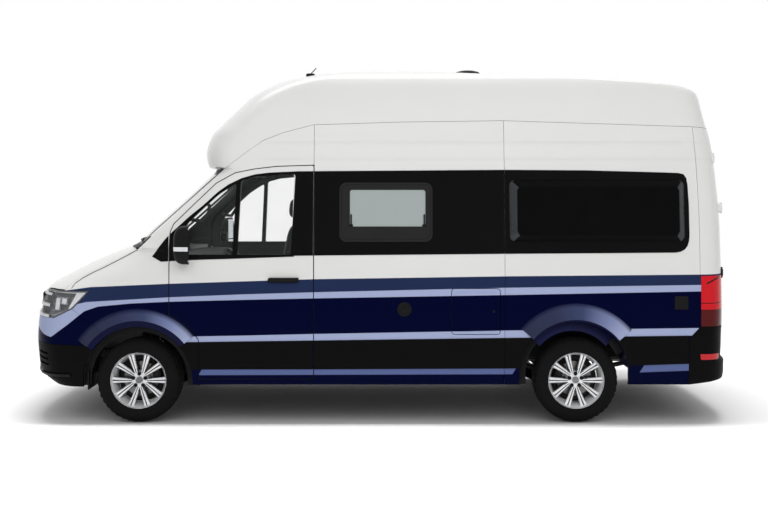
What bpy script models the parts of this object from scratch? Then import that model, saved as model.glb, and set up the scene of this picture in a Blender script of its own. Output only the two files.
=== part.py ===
"""High-roof motorhome on a long van body, with every panel cut from one skin.

Frame: +X forward, +Y to the vehicle's left, +Z up, origin on the floor under the middle of
the vehicle. Metres throughout. Run with: blender --background --python part.py
"""
import math

import bmesh
import bpy
from mathutils import Matrix, Vector

# Overall sizes.
LENGTH = 5.986
HALF_WIDTH = 1.020
WHEELBASE = 3.640
FRONT_OVERHANG = 0.996
NOSE = LENGTH / 2
TAIL = -LENGTH / 2
WIDE = 1.2 * HALF_WIDTH
FRONT_AXLE = NOSE - FRONT_OVERHANG
REAR_AXLE = FRONT_AXLE - WHEELBASE

# Gaps: between fixed pieces, round a moving panel, and along a seam.
FIT = 0.0003
SHUT = 0.008

# Wall thicknesses.
SIDE_WALL = 0.045
ROOF_WALL = 0.035
BONNET_WALL = 0.030
FENDER_WALL = 0.025
BUMPER_WALL = 0.050
LAMP_DEPTH = 0.090
GLASS = 0.006
PANE_DEPTH = 0.004

# The skin, level by level. Columns: height, how far the side lies inside HALF_WIDTH, how far
# the front lies behind the nose, length of the front's plan curve, how far the back lies
# ahead of the tail, length of the back's plan curve.
LEVELS = (
    (0.300, 0.060, 0.130, 0.42, 0.060, 0.30),
    (0.360, 0.032, 0.060, 0.42, 0.010, 0.32),
    (0.420, 0.024, 0.018, 0.42, 0.000, 0.34),
    (0.500, 0.018, 0.008, 0.41, 0.000, 0.34),
    (0.530, 0.016, 0.006, 0.41, 0.038, 0.30),
    (0.670, 0.009, 0.000, 0.40, 0.038, 0.28),
    (0.800, 0.003, 0.003, 0.42, 0.036, 0.28),
    (0.950, 0.000, 0.018, 0.48, 0.035, 0.28),
    (1.050, 0.001, 0.038, 0.56, 0.036, 0.28),
    (1.100, 0.002, 0.070, 0.62, 0.036, 0.28),
    (1.180, 0.003, 0.200, 0.74, 0.037, 0.28),
    (1.300, 0.006, 0.435, 0.84, 0.038, 0.28),
    (1.420, 0.010, 0.722, 0.66, 0.040, 0.28),
    (1.455, 0.012, 0.838, 0.40, 0.041, 0.28),
    (1.750, 0.030, 1.158, 0.34, 0.050, 0.28),
    (2.050, 0.057, 1.483, 0.32, 0.072, 0.28),
    (2.110, 0.063, 1.540, 0.32, 0.078, 0.28),
    (2.130, 0.065, 1.480, 0.33, 0.080, 0.28),
    (2.250, 0.079, 1.453, 0.34, 0.093, 0.28),
    (2.400, 0.099, 1.495, 0.35, 0.118, 0.28),
    (2.515, 0.115, 1.600, 0.37, 0.150, 0.28),
    (2.620, 0.128, 1.703, 0.40, 0.175, 0.28),
    (2.757, 0.155, 1.850, 0.44, 0.205, 0.30),
    (2.820, 0.178, 1.953, 0.46, 0.300, 0.34),
    (2.870, 0.215, 2.050, 0.48, 0.720, 0.42),
    (2.945, 0.345, 2.320, 0.50, 2.000, 0.50),
    (2.967, 0.470, 2.500, 0.50, 2.450, 0.50),
)
FRONT_POWER = 2.5
REAR_POWER = 3.0
FRONT_STEPS = 6
REAR_STEPS = 4

# Wheels.
AXLE_HEIGHT = 0.350
TYRE_SIDES = 30
TYRE_RADIUS = AXLE_HEIGHT / math.cos(math.pi / TYRE_SIDES)
TYRE_WIDTH = 0.235
RIM_RADIUS = 0.2355
RIM_WELL = 0.200
RIM_WIDTH = 0.205
WHEEL_INSET = 0.1575
WHEEL_Y = HALF_WIDTH - WHEEL_INSET
SPOKES = 10
BRAKE_RADIUS = 0.145
HUB_RADIUS = 0.045
RIM_FACE = 0.055
BRAKE_BACK = -0.045
SPOKE_HALF = 0.014

# Steering: the swivel axis runs from the lower ball joint to the top of the strut.
BALL_INSET = 0.240
BALL_HEIGHT = 0.220
STRUT_TOP_INSET = 0.400
STRUT_TOP_HEIGHT = 0.860
COLUMN_TILT = math.radians(40.0)
STEERING_WHEEL_RADIUS = 0.190
STEERING_WHEEL_X = FRONT_AXLE - 0.762
STEERING_WHEEL_Y = 0.450
STEERING_WHEEL_Z = 1.270
TOWER_BOTTOM = STRUT_TOP_HEIGHT + 0.008
ARM_BOTTOM = 0.180

# Wheel arches: centre offset from the axle, centre height and radius.
FRONT_ARCH = (-0.002, 0.355, 0.455)
REAR_ARCH = (0.023, 0.405, 0.455)

# Levels that several panels share.
SILL_BOTTOM = 0.320
FLOOR_TOP = 0.540
FLOOR_THICK = 0.040
FLOOR_EDGE = SIDE_WALL + 0.035
FLOOR_UNDER = FLOOR_TOP - FLOOR_THICK
FLOOR_FRONT = FRONT_AXLE - 0.480
DOOR_BOTTOM = 0.372
SCREEN_BOTTOM = 1.455
SCREEN_TOP = 2.112
SCREEN_FOOT_X = FRONT_AXLE + 0.0164
SCREEN_SLOPE = 1.084
BUMPER_TOP = 0.874
BACK_BUMPER_FRONT = TAIL + 0.426
BACK_BUMPER_TOP = 0.806
BACK_STEP_TOP = 0.594
FRAME_INNER_Y = HALF_WIDTH - 0.220

# Cab door.
DOOR_FRONT = FRONT_AXLE - 0.2685
DOOR_BACK = FRONT_AXLE - 1.456
DOOR_LOW_FRONT = FRONT_AXLE - 0.512
DOOR_ARC = 0.620
DOOR_HINGE_X = DOOR_FRONT + SHUT / 2
SIDE_HINGE_Y = HALF_WIDTH + 0.003
HINGE_PIN = 0.0025
HINGE_ARM = 0.0012
HINGE_STEP = 0.003
DOOR_HINGE_HEIGHTS = (1.000, 1.300)
HINGE_LENGTH = 0.040

# Back doors.
BACK_DOOR_BOTTOM = 0.602
BACK_DOOR_TOP = 2.425
BACK_DOOR_EDGE = HALF_WIDTH - 0.189
BACK_HINGE_Y = BACK_DOOR_EDGE + SHUT / 2
BACK_HINGE_PROUD = 0.006
BACK_HINGE_LEVEL = 1.500
BACK_HINGE_LEAN = 0.040
BACK_HINGE_REACH = 0.060
BACK_HINGE_HEIGHTS = (1.240, 1.690, 2.150)
BACK_WINDOW_IN = 0.110
BACK_WINDOW_OUT = HALF_WIDTH - 0.300
BACK_WINDOW_BOTTOM = 1.420
BACK_WINDOW_TOP = 2.060

# Bonnet.
BONNET_HINGE_X = FRONT_AXLE - 0.047
BONNET_HINGE_Z = 1.420
BONNET_HINGE_Y = 0.600
BONNET_ARM_WIDTH = 0.012
BONNET_PIN = 0.007
BONNET_PIN_LENGTH = 0.040

# Living area.
POD_FRONT = REAR_AXLE + 0.564
POD_BACK = REAR_AXLE - 0.887
POD_BOTTOM = 1.511
POD_TOP = 2.019
POD_DEPTH = 0.045
POD_LIP = 0.012
POD_SLOPE_X = 0.072
POD_SLOPE_Z = 0.048
POD_WALL = 0.012
POD_LOW_Y = HALF_WIDTH - 0.014 + POD_LIP
POD_HIGH_Y = HALF_WIDTH - 0.054 + POD_LIP
WINDOW_FRONT = FRONT_AXLE - 1.672
WINDOW_BACK = FRONT_AXLE - 2.444
WINDOW_BOTTOM = 1.508
WINDOW_TOP = 1.997
WINDOW_PROUD = 0.022
WINDOW_MARGIN = 0.070
CENTRE_POST = 0.090
SLIDE_FRONT = DOOR_BACK - CENTRE_POST
SLIDE_BACK = SLIDE_FRONT - 1.250
SLIDE_BOTTOM = 0.372
SLIDE_TOP = 2.120
SLIDE_WINDOW_FRONT = SLIDE_FRONT - 0.200
SLIDE_WINDOW_BACK = SLIDE_BACK + 0.240
HATCH_FRONT = FRONT_AXLE - 2.603
HATCH_BACK = FRONT_AXLE - 3.000
HATCH_BOTTOM = 0.745
HATCH_TOP = 1.118
HATCH_HINGE_X = HATCH_FRONT + SHUT / 2
HATCH_HINGE_HEIGHTS = (0.800, 0.980)
HATCH_WALL = 0.030
ROOF_TOP = LEVELS[-1][0]
ROOF_VENT_PLACE = (-0.795, 0.250)
ROOF_VENT_RADIUS = 0.142
ROOF_VENT_HEIGHT = 0.045
GRILLE_HALF = 0.500
GRILLE_BOTTOM = 0.820
GRILLE_TOP = 1.060
GRILLE_DEPTH = 0.040

# Mirrors, seats and underbody.
MIRROR_X = FRONT_AXLE - 0.477
MIRROR_IN = HALF_WIDTH + 0.025
MIRROR_OUT = HALF_WIDTH + 0.1935
MIRROR_BOTTOM = 1.332
MIRROR_TOP = 1.645
SEAT_X = FRONT_AXLE - 1.220
SEAT_Y = 0.450
SEAT_BASE = 0.860
BED_HALF = HALF_WIDTH - 0.100
PLATE = 0.020
WHEEL_BOX_HALF = 0.480
WHEEL_BOX_Y = 0.665
WHEEL_BOX_TOP = 0.900
SPRING_TOP = FLOOR_TOP - 0.080
BACK_RAIL_IN = 0.490
BACK_RAIL_OUT = 0.580
FRONT_RAIL_IN = 0.400
FRONT_RAIL_OUT = 0.480
FRONT_RAIL_LOW = FLOOR_TOP - 0.070
FRONT_RAIL_HIGH = FLOOR_TOP - 0.010
CROSS_MEMBERS = (BACK_BUMPER_FRONT + 0.040, REAR_AXLE + 0.560, 0.450, FRONT_AXLE - 0.700)

WHITE = (0.76, 0.76, 0.75)
NAVY = (0.012, 0.020, 0.075)
BLACK = (0.012, 0.012, 0.013)
GLOSS_BLACK = (0.006, 0.006, 0.007)
DARK_METAL = (0.05, 0.05, 0.055)
CLOTH = (0.07, 0.07, 0.075)


def clear_scene():
    for thing in list(bpy.data.objects):
        bpy.data.objects.remove(thing)


def paint(name, colour, roughness, metallic=0.0):
    material = bpy.data.materials.new(name)
    material.use_nodes = True
    surface = material.node_tree.nodes["Principled BSDF"]
    surface.inputs["Base Color"].default_value = (*colour, 1.0)
    surface.inputs["Roughness"].default_value = roughness
    surface.inputs["Metallic"].default_value = metallic
    material.diffuse_color = (*colour, 1.0)
    return material


def add_object(name, bm, material=None):
    """Turn a bmesh into a named object; without a material it is a guide, not a piece."""
    bmesh.ops.recalc_face_normals(bm, faces=bm.faces)
    mesh = bpy.data.meshes.new(name)
    bm.to_mesh(mesh)
    bm.free()
    thing = bpy.data.objects.new(name, mesh)
    bpy.context.scene.collection.objects.link(thing)
    if material is None:
        thing.hide_render = True
        thing.display_type = 'WIRE'
    else:
        mesh.materials.append(material)
    return thing


def combine(thing, other, operation):
    modifier = thing.modifiers.new(other.name, 'BOOLEAN')
    modifier.operation = operation
    modifier.solver = 'EXACT'
    modifier.object = other
    return thing


def keep(thing, *others):
    for other in others:
        combine(thing, other, 'INTERSECT')
    return thing


def take(thing, *others):
    for other in others:
        combine(thing, other, 'DIFFERENCE')
    return thing


def join(thing, *others):
    for other in others:
        combine(thing, other, 'UNION')
    return thing


def ring_faces(bm, rings, close_ends=True):
    """Skin a list of equal rings of points, and cap the first and last."""
    loops = [[bm.verts.new(point) for point in ring] for ring in rings]
    for lower, upper in zip(loops, loops[1:]):
        for i in range(len(lower)):
            j = (i + 1) % len(lower)
            bm.faces.new((lower[i], lower[j], upper[j], upper[i]))
    if close_ends:
        bm.faces.new(list(reversed(loops[0])))
        bm.faces.new(loops[-1])
    return loops


def prism(name, outline, axis, start, end, material=None):
    """Extrude an outline along an axis. Outlines are (x, z) along Y, (x, y) along Z, (y, z) along X."""
    places = {
        'X': lambda a, b, c: (c, a, b),
        'Y': lambda a, b, c: (a, c, b),
        'Z': lambda a, b, c: (a, b, c),
    }
    place = places[axis]
    bm = bmesh.new()
    ring_faces(bm, [[place(a, b, c) for a, b in outline] for c in (start, end)])
    return add_object(name, bm, material)


def box(name, low, high, material=None):
    outline = ((low[0], low[1]), (high[0], low[1]), (high[0], high[1]), (low[0], high[1]))
    return prism(name, outline, 'Z', low[2], high[2], material)


def rod(name, start, end, radius, sides=16, material=None, end_radius=None):
    """A round bar, or a cone, between two points."""
    start = Vector(start)
    end = Vector(end)
    run = end - start
    turn = run.to_track_quat('Z', 'Y').to_matrix().to_4x4()
    bm = bmesh.new()
    bmesh.ops.create_cone(
        bm, cap_ends=True, segments=sides, radius1=radius,
        radius2=radius if end_radius is None else end_radius, depth=run.length,
        matrix=Matrix.Translation((start + end) / 2) @ turn)
    return add_object(name, bm, material)


def turned(name, profile, centre, sides, material=None, start_angle=0.0):
    """Spin a closed (y, radius) profile about a line along Y."""
    rings = []
    for step in range(sides):
        angle = start_angle + 2 * math.pi * step / sides
        rings.append([(centre[0] + r * math.cos(angle), centre[1] + y, centre[2] + r * math.sin(angle))
                      for y, r in profile])
    bm = bmesh.new()
    loops = ring_faces(bm, rings, close_ends=False)
    for i in range(len(profile)):
        j = (i + 1) % len(profile)
        bm.faces.new((loops[-1][i], loops[-1][j], loops[0][j], loops[0][i]))
    return add_object(name, bm, material)


def grown(outline, gap):
    """Offset a closed outline outwards by a gap, with mitred corners."""
    area = sum(a[0] * b[1] - b[0] * a[1] for a, b in zip(outline, outline[1:] + outline[:1]))
    way = 1.0 if area > 0 else -1.0
    moved = []
    for i, point in enumerate(outline):
        before = Vector(outline[i - 1])
        here = Vector(point)
        after = Vector(outline[(i + 1) % len(outline)])
        first = (here - before).normalized()
        second = (after - here).normalized()
        first_out = Vector((first.y, -first.x)) * way
        second_out = Vector((second.y, -second.x)) * way
        bisector = (first_out + second_out).normalized()
        reach = gap / max(bisector.dot(first_out), 0.3)
        moved.append(tuple(here + bisector * reach))
    return moved


def arc(centre, radius, start, end, steps):
    """Points on a circle, from one angle to another, in degrees."""
    points = []
    for step in range(steps + 1):
        angle = math.radians(start + (end - start) * step / steps)
        points.append((centre[0] + radius * math.cos(angle), centre[1] + radius * math.sin(angle)))
    return points


def skin_level(height):
    """The row of LEVELS for any height, between the rows of the table."""
    for lower, upper in zip(LEVELS, LEVELS[1:]):
        if height <= upper[0]:
            share = (height - lower[0]) / (upper[0] - lower[0])
            return [a + (b - a) * share for a, b in zip(lower, upper)]
    return LEVELS[-1]


def skin_back_x(y, height):
    """Where the skin's back corner lies at a distance from the middle."""
    _, inset, _, _, back, curve = skin_level(height)
    across = (y / (HALF_WIDTH - inset)) ** REAR_POWER
    return TAIL + back + curve * (1 - (1 - across) ** (1 / REAR_POWER))


def level_ring(level):
    """One horizontal outline of the skin, from the front centre round by the left."""
    height, inset, front, front_curve, back, back_curve = level
    width = HALF_WIDTH - inset
    half = []
    for step in range(FRONT_STEPS + 1):
        angle = math.pi / 2 * step / FRONT_STEPS
        along = max(math.cos(angle), 0.0) ** (2 / FRONT_POWER)
        across = math.sin(angle) ** (2 / FRONT_POWER)
        half.append((NOSE - front - front_curve * (1 - along), width * across))
    for step in range(REAR_STEPS, -1, -1):
        angle = math.pi / 2 * step / REAR_STEPS
        along = max(math.cos(angle), 0.0) ** (2 / REAR_POWER)
        across = math.sin(angle) ** (2 / REAR_POWER)
        half.append((TAIL + back + back_curve * (1 - along), width * across))
    other = [(x, -y) for x, y in reversed(half[1:-1])]
    return [(x, y, height) for x, y in half + other]


layers = {}


def layer(depth):
    """The whole skin as a closed guide, moved in by a depth (out where it is negative)."""
    if depth not in layers:
        bm = bmesh.new()
        ring_faces(bm, [level_ring(level) for level in LEVELS])
        bmesh.ops.recalc_face_normals(bm, faces=bm.faces)
        bm.normal_update()
        moves = [vert.normal * vert.calc_shell_factor() * depth for vert in bm.verts]
        for vert, move in zip(bm.verts, moves):
            vert.co -= move
        layers[depth] = add_object(f"guide_skin_{len(layers)}", bm)
    return layers[depth]


def side_span(side, inner, outer=HALF_WIDTH + 0.30):
    """The two Y values of a prism on one side of the vehicle."""
    return side * inner, side * outer


def door_outline():
    """Outer edge of a cab door, seen from the side."""
    x = FRONT_AXLE
    lower = arc((x, AXLE_HEIGHT), DOOR_ARC, 145.6, 115.7, 4)
    upper = [(DOOR_FRONT, 1.450), (x - 0.275, 1.585), (x - 0.302, 1.654), (x - 0.487, 1.834),
             (x - 0.646, 1.988), (x - 0.807, 2.075), (x - 0.970, 2.107), (x - 1.147, 2.128),
             (DOOR_BACK, 2.138)]
    return lower + upper + [(DOOR_BACK, DOOR_BOTTOM), (DOOR_LOW_FRONT, DOOR_BOTTOM)]


def door_window_outline():
    x = FRONT_AXLE
    return [(x - 0.335, 1.395), (x - 0.335, 1.560), (x - 0.380, 1.660), (x - 0.527, 1.810),
            (x - 0.677, 1.950), (x - 0.827, 2.030), (x - 0.977, 2.060), (x - 1.157, 2.078),
            (x - 1.290, 2.080), (x - 1.330, 1.395)]


def roof_seam(gap=0.0):
    """Lower edge of the roof moulding, from the front of the nose to the tail."""
    x = FRONT_AXLE
    points = [(x - 0.719, 2.118), (x - 0.919, 2.270), (x - 1.029, 2.347), (x - 1.197, 2.416),
              (x - 1.453, 2.482), (x - 2.177, 2.505), (x - 3.037, 2.517), (TAIL + 0.373, 2.466),
              (TAIL - 0.100, 2.433)]
    return [(px, pz + gap) for px, pz in points]


def screen_x(height, gap=0.0):
    """Where the windscreen's side edge lies at a height."""
    return SCREEN_FOOT_X - (height - SCREEN_BOTTOM) * SCREEN_SLOPE + gap


def lamp_outline():
    x = FRONT_AXLE
    return [(x + 0.393, 1.100), (x + 0.533, 0.951), (x + 0.693, BUMPER_TOP), (NOSE + 0.1, BUMPER_TOP),
            (NOSE + 0.1, 1.062), (x + 0.753, 1.095)]


def bumper_outline(gap=0.0):
    x = FRONT_AXLE
    top = BUMPER_TOP - gap
    return [(x + 0.420, 0.290), (NOSE + 0.1, 0.290), (NOSE + 0.1, top), (x + 0.693, top),
            (x + 0.533, 0.951 - gap), (x + 0.273, 0.736 - gap), (x + 0.330, 0.600)]


def bonnet_plan():
    """Bonnet seen from above: a curved back edge, then down each side."""
    x = FRONT_AXLE
    back_y = HALF_WIDTH - 0.210
    back = []
    for step in range(-4, 5):
        y = back_y * step / 4
        back.append((x + 0.203 - 0.145 * (y / back_y) ** 2, y))
    left = [(x + 0.283, back_y), (x + 0.530, back_y + 0.020), (x + 0.620, back_y + 0.120),
            (x + 0.660, back_y + 0.180), (NOSE + 0.1, back_y + 0.180)]
    right = [(px, -py) for px, py in reversed(left)]
    return back + left + right


def bonnet_profile():
    """Bonnet seen from the side: everything above its lower edge."""
    x = FRONT_AXLE
    return [(x, 1.110), (x + 0.753, 1.105), (NOSE + 0.1, 1.072), (NOSE + 0.1, 1.600), (x, 1.600)]


def make_bonnet(colour):
    bonnet = prism("bonnet", bonnet_plan(), 'Z', 1.0, 1.7, colour)
    side = prism("guide_bonnet_side", bonnet_profile(), 'Y', -WIDE, WIDE)
    keep(bonnet, side, layer(0.0))
    take(bonnet, layer(BONNET_WALL))
    for side in (1, -1):
        start = (BONNET_HINGE_X, side * BONNET_HINGE_Y, BONNET_HINGE_Z)
        end = (BONNET_HINGE_X, side * (BONNET_HINGE_Y + BONNET_PIN_LENGTH), BONNET_HINGE_Z)
        arm = prism("guide_gooseneck", gooseneck(), 'Y', side * BONNET_HINGE_Y,
                    side * (BONNET_HINGE_Y + BONNET_ARM_WIDTH))
        join(bonnet, arm, rod("guide_pin", start, end, BONNET_PIN, 16))
    return bonnet


def gooseneck():
    """Bonnet hinge arm seen from the side; it dips so that it swings clear of the cowl's edge."""
    shape = [(-0.007, 0.0), (0.0, 0.007), (0.125, -0.112), (0.230, -0.012), (0.250, -0.020),
             (0.245, -0.036), (0.132, -0.134), (0.118, -0.134), (0.0, -0.007)]
    return [(BONNET_HINGE_X + dx, BONNET_HINGE_Z + dz) for dx, dz in shape]


def gooseneck_room(side):
    """Slot in the cowl for a bonnet hinge; the pin's end bears on its outer wall."""
    low = (BONNET_HINGE_X - 0.016, side * (BONNET_HINGE_Y - 0.008), BONNET_HINGE_Z - 0.170)
    high = (BONNET_HINGE_X + 0.450, side * (BONNET_HINGE_Y + BONNET_PIN_LENGTH + FIT),
            BONNET_HINGE_Z + 0.180)
    return box("guide_cowl_slot", low, high)


def bonnet_room(gap):
    """The space that the bonnet and its gap take from the pieces round it."""
    room = prism("guide_bonnet_room", grown(bonnet_plan(), gap), 'Z', 0.9, 1.8)
    side = prism("guide_bonnet_room_side", grown(bonnet_profile(), gap), 'Y', -WIDE - 0.1, WIDE + 0.1)
    return keep(room, side)


def arch_room(arch, axle, side, inner):
    """The opening cut for a wheel: a round top with straight sides below."""
    offset, height, radius = arch
    x = axle + offset
    outline = arc((x, height), radius, 0.0, 180.0, 16) + [(x - radius, 0.0), (x + radius, 0.0)]
    return prism(f"guide_arch_{side}", outline, 'Y', *side_span(side, inner))


def make_fender(name, side, colour, door_gap, bonnet_gap):
    x = FRONT_AXLE
    foot = DOOR_LOW_FRONT + SHUT - FIT
    outline = [(foot, SILL_BOTTOM), (x, SILL_BOTTOM), (x, 0.500), (x + 0.273, 0.736),
               (x + 0.533, 0.951), (x + 0.800, 0.951), (x + 0.800, 1.200), (x + 0.300, 1.4365),
               (x + 0.053, 1.4365), (x - 0.107, 1.3827), (x - 0.260, 1.380), (foot, 1.380)]
    fender = prism(name, outline, 'Y', *side_span(side, FRAME_INNER_Y), colour)
    keep(fender, layer(0.0))
    lamp = prism("guide_lamp_room", grown(lamp_outline(), FIT), 'Y', *side_span(side, 0.3))
    arch = arch_room(FRONT_ARCH, FRONT_AXLE, side, 0.3)
    return take(fender, layer(FENDER_WALL), door_gap, bonnet_gap, lamp, arch)


def make_front_bumper(colour):
    bumper = prism("front_bumper", bumper_outline(FIT), 'Y', -WIDE, WIDE, colour)
    keep(bumper, layer(0.0))
    grille = box("guide_grille_room", (NOSE - 0.5, -GRILLE_HALF - FIT, GRILLE_BOTTOM - FIT),
                 (NOSE + 0.1, GRILLE_HALF + FIT, 1.5))
    take(bumper, grille)
    for side in (1, -1):
        take(bumper, arch_room(FRONT_ARCH, FRONT_AXLE, side, 0.45))
    return take(bumper, layer(BUMPER_WALL))


def make_grille(colour):
    grille = box("grille", (NOSE - 0.3, -GRILLE_HALF, GRILLE_BOTTOM),
                 (NOSE + 0.1, GRILLE_HALF, GRILLE_TOP), colour)
    keep(grille, layer(0.0))
    return take(grille, layer(GRILLE_DEPTH))


def make_headlamp(name, side, colour):
    lamp = prism(name, lamp_outline(), 'Y', *side_span(side, GRILLE_HALF + FIT), colour)
    keep(lamp, layer(0.0))
    return take(lamp, layer(LAMP_DEPTH))


def make_windscreen(colour):
    top = SCREEN_TOP
    outline = [(screen_x(SCREEN_BOTTOM), SCREEN_BOTTOM), (NOSE, SCREEN_BOTTOM), (NOSE, top),
               (screen_x(top), top)]
    screen = prism("windscreen", outline, 'Y', -WIDE, WIDE, colour)
    keep(screen, layer(0.0))
    return take(screen, layer(GLASS))


def bulkhead_x(height):
    """Where the bulkhead's upright face lies on the cab's side."""
    return FRONT_AXLE - 0.110 + 0.030 * (height - 0.925) / (SCREEN_BOTTOM - FIT - 0.925)


def make_firewall(colour, bonnet_gap):
    """Bulkhead in front of the feet, rising to the cowl under the windscreen."""
    x = FRONT_AXLE
    base = FLOOR_TOP + FIT
    top = SCREEN_BOTTOM - FIT
    outline = [(x - 0.530, base), (x - 0.495, base), (x - 0.435, 0.715), (x - 0.300, 0.850),
               (x - 0.080, 0.900), (x - 0.030, 1.360), (x + 0.300, 1.395), (x + 0.300, top),
               (bulkhead_x(top), top), (bulkhead_x(0.925), 0.925), (x - 0.315, 0.875), (x - 0.455, 0.740)]
    half = FRAME_INNER_Y - FIT
    wall = prism("firewall", outline, 'Y', -half, half, colour)
    keep(wall, layer(0.0))
    return take(wall, bonnet_gap, gooseneck_room(1), gooseneck_room(-1))


def back_door_room(gap):
    edge = BACK_DOOR_EDGE + gap
    return box("guide_back_doors", (TAIL - 0.2, -edge, BACK_DOOR_BOTTOM - gap),
               (TAIL + 0.33, edge, BACK_DOOR_TOP + gap))


def tail_lamp_room(side, gap):
    low = (TAIL - 0.2, side * (BACK_DOOR_EDGE + SHUT - gap), BACK_BUMPER_TOP - gap)
    high = (TAIL + 0.325 + gap, side * (HALF_WIDTH + 0.2), 1.225 + gap)
    return box("guide_tail_lamp", low, high)


def side_outline():
    """Body side, from the sill behind the front wheel round to the back bumper."""
    x = FRONT_AXLE
    foot = DOOR_LOW_FRONT + SHUT - 2 * FIT
    seam = roof_seam(-FIT)
    top = seam[0][1]
    return ([(foot, SILL_BOTTOM), (foot, 1.3803), (x - 0.260, 1.3803), (x - 0.107, 1.383),
             (x + 0.0346, 1.4306), (screen_x(top, -FIT), top)] + seam
            + [(TAIL - 0.1, BACK_BUMPER_TOP + FIT), (BACK_BUMPER_FRONT + FIT, BACK_BUMPER_TOP + FIT),
               (BACK_BUMPER_FRONT + FIT, SILL_BOTTOM)])


def leaning_ring(y_low, y_high, inset_x, inset_z):
    """A pod's rectangle; its Y goes from y_low at the bottom to y_high at the top."""
    front = POD_FRONT - inset_x
    back = POD_BACK + inset_x
    low = POD_BOTTOM + inset_z
    high = POD_TOP - inset_z
    slope = (y_high - y_low) / (POD_TOP - POD_BOTTOM)
    return [(front, y_low + slope * inset_z, low), (back, y_low + slope * inset_z, low),
            (back, y_high - slope * inset_z, high), (front, y_high - slope * inset_z, high)]


def pod_room(side):
    """The hollow behind a pod's outer wall, which also opens the body side."""
    reach = POD_DEPTH - POD_WALL
    inset = (POD_SLOPE_X + POD_WALL, POD_SLOPE_Z + POD_WALL)
    inner = leaning_ring(HALF_WIDTH - 0.16, HALF_WIDTH - 0.20, *inset)
    outer = leaning_ring(POD_LOW_Y + reach, POD_HIGH_Y + reach, *inset)
    bm = bmesh.new()
    ring_faces(bm, [[(x, side * y, z) for x, y, z in ring] for ring in (inner, outer)])
    return add_object("guide_pod_room", bm)


def make_pod(name, side, colour):
    """Moulded bulge beside the bed, with sloped edges and a hollow back."""
    root = leaning_ring(HALF_WIDTH - 0.10, HALF_WIDTH - 0.14, 0.0, 0.0)
    lip = leaning_ring(POD_LOW_Y, POD_HIGH_Y, 0.0, 0.0)
    face = leaning_ring(POD_LOW_Y + POD_DEPTH, POD_HIGH_Y + POD_DEPTH, POD_SLOPE_X, POD_SLOPE_Z)
    bm = bmesh.new()
    ring_faces(bm, [[(x, side * y, z) for x, y, z in ring] for ring in (root, lip, face)])
    pod = add_object(name, bm, colour)
    return take(pod, layer(-FIT), pod_room(side))


def window_outline(front, back):
    return [(front, WINDOW_BOTTOM), (front, WINDOW_TOP), (back, WINDOW_TOP), (back, WINDOW_BOTTOM)]


def make_side_window(name, side, front, back, colour):
    """Top-hung window that lies proud of the wall over its opening."""
    window = prism(name, window_outline(front, back), 'Y', *side_span(side, FRAME_INNER_Y), colour)
    return take(keep(window, layer(-WINDOW_PROUD)), layer(-FIT))


def window_room(side, front, back):
    outline = grown(window_outline(front, back), -WINDOW_MARGIN)
    return prism("guide_window_room", outline, 'Y', *side_span(side, FRAME_INNER_Y - 0.1))


def hatch_outline():
    return [(HATCH_FRONT, HATCH_BOTTOM), (HATCH_FRONT, HATCH_TOP), (HATCH_BACK, HATCH_TOP),
            (HATCH_BACK, HATCH_BOTTOM)]


def sliding_outline():
    return [(SLIDE_FRONT, SLIDE_BOTTOM), (SLIDE_FRONT, SLIDE_TOP), (SLIDE_BACK, SLIDE_TOP),
            (SLIDE_BACK, SLIDE_BOTTOM)]


def make_sliding_door(colour):
    door = prism("sliding_door", sliding_outline(), 'Y', *side_span(-1, FRAME_INNER_Y), colour)
    keep(door, layer(0.0))
    take(door, layer(SIDE_WALL), window_room(-1, SLIDE_WINDOW_FRONT, SLIDE_WINDOW_BACK))
    runner = box("guide_runner", (SLIDE_FRONT - 0.200, -(HALF_WIDTH - FLOOR_EDGE + FIT), FLOOR_TOP - 0.035),
                 (SLIDE_FRONT - 0.120, -(HALF_WIDTH - 0.040), FLOOR_TOP - 0.005))
    return join(door, runner)


def lower_hinge(panel, side, x, height, depth):
    """Fixed half of an upright hinge: an arm through the gap with a pin on its end."""
    arm = box("guide_arm", (x - HINGE_ARM, side * (HALF_WIDTH - depth), height + HINGE_STEP),
              (x + HINGE_ARM, side * SIDE_HINGE_Y, height + HINGE_LENGTH - HINGE_STEP))
    pin = rod("guide_pin", (x, side * SIDE_HINGE_Y, height),
              (x, side * SIDE_HINGE_Y, height + HINGE_LENGTH), HINGE_PIN, 12)
    return join(panel, arm, pin)


def upper_hinge(door, side, edge, x, height):
    """Moving half of an upright hinge, resting on the fixed half."""
    low = height + HINGE_LENGTH + FIT
    leaf = box("guide_leaf", (edge - 0.012, side * (HALF_WIDTH - 0.020), low + HINGE_STEP),
               (x, side * (SIDE_HINGE_Y + 0.001), low + HINGE_LENGTH - HINGE_STEP))
    pin = rod("guide_pin", (x, side * SIDE_HINGE_Y, low),
              (x, side * SIDE_HINGE_Y, low + HINGE_LENGTH), HINGE_PIN, 12)
    return join(door, leaf, pin)


def make_cab_door(name, side, colour):
    door = prism(name, door_outline(), 'Y', *side_span(side, FRAME_INNER_Y), colour)
    keep(door, layer(0.0))
    window = prism("guide_door_window", door_window_outline(), 'Y', *side_span(side, 0.6))
    take(door, layer(SIDE_WALL), window)
    rebate = box("guide_door_rebate", (DOOR_BACK - 0.1, side * 0.6, DOOR_BOTTOM - 0.1),
                 (DOOR_BACK + 0.024, side * (HALF_WIDTH + 0.1), 2.4))
    take(door, keep(rebate, layer(0.016)))
    for height in DOOR_HINGE_HEIGHTS:
        upper_hinge(door, side, DOOR_FRONT, DOOR_HINGE_X, height)
    return door


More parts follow.
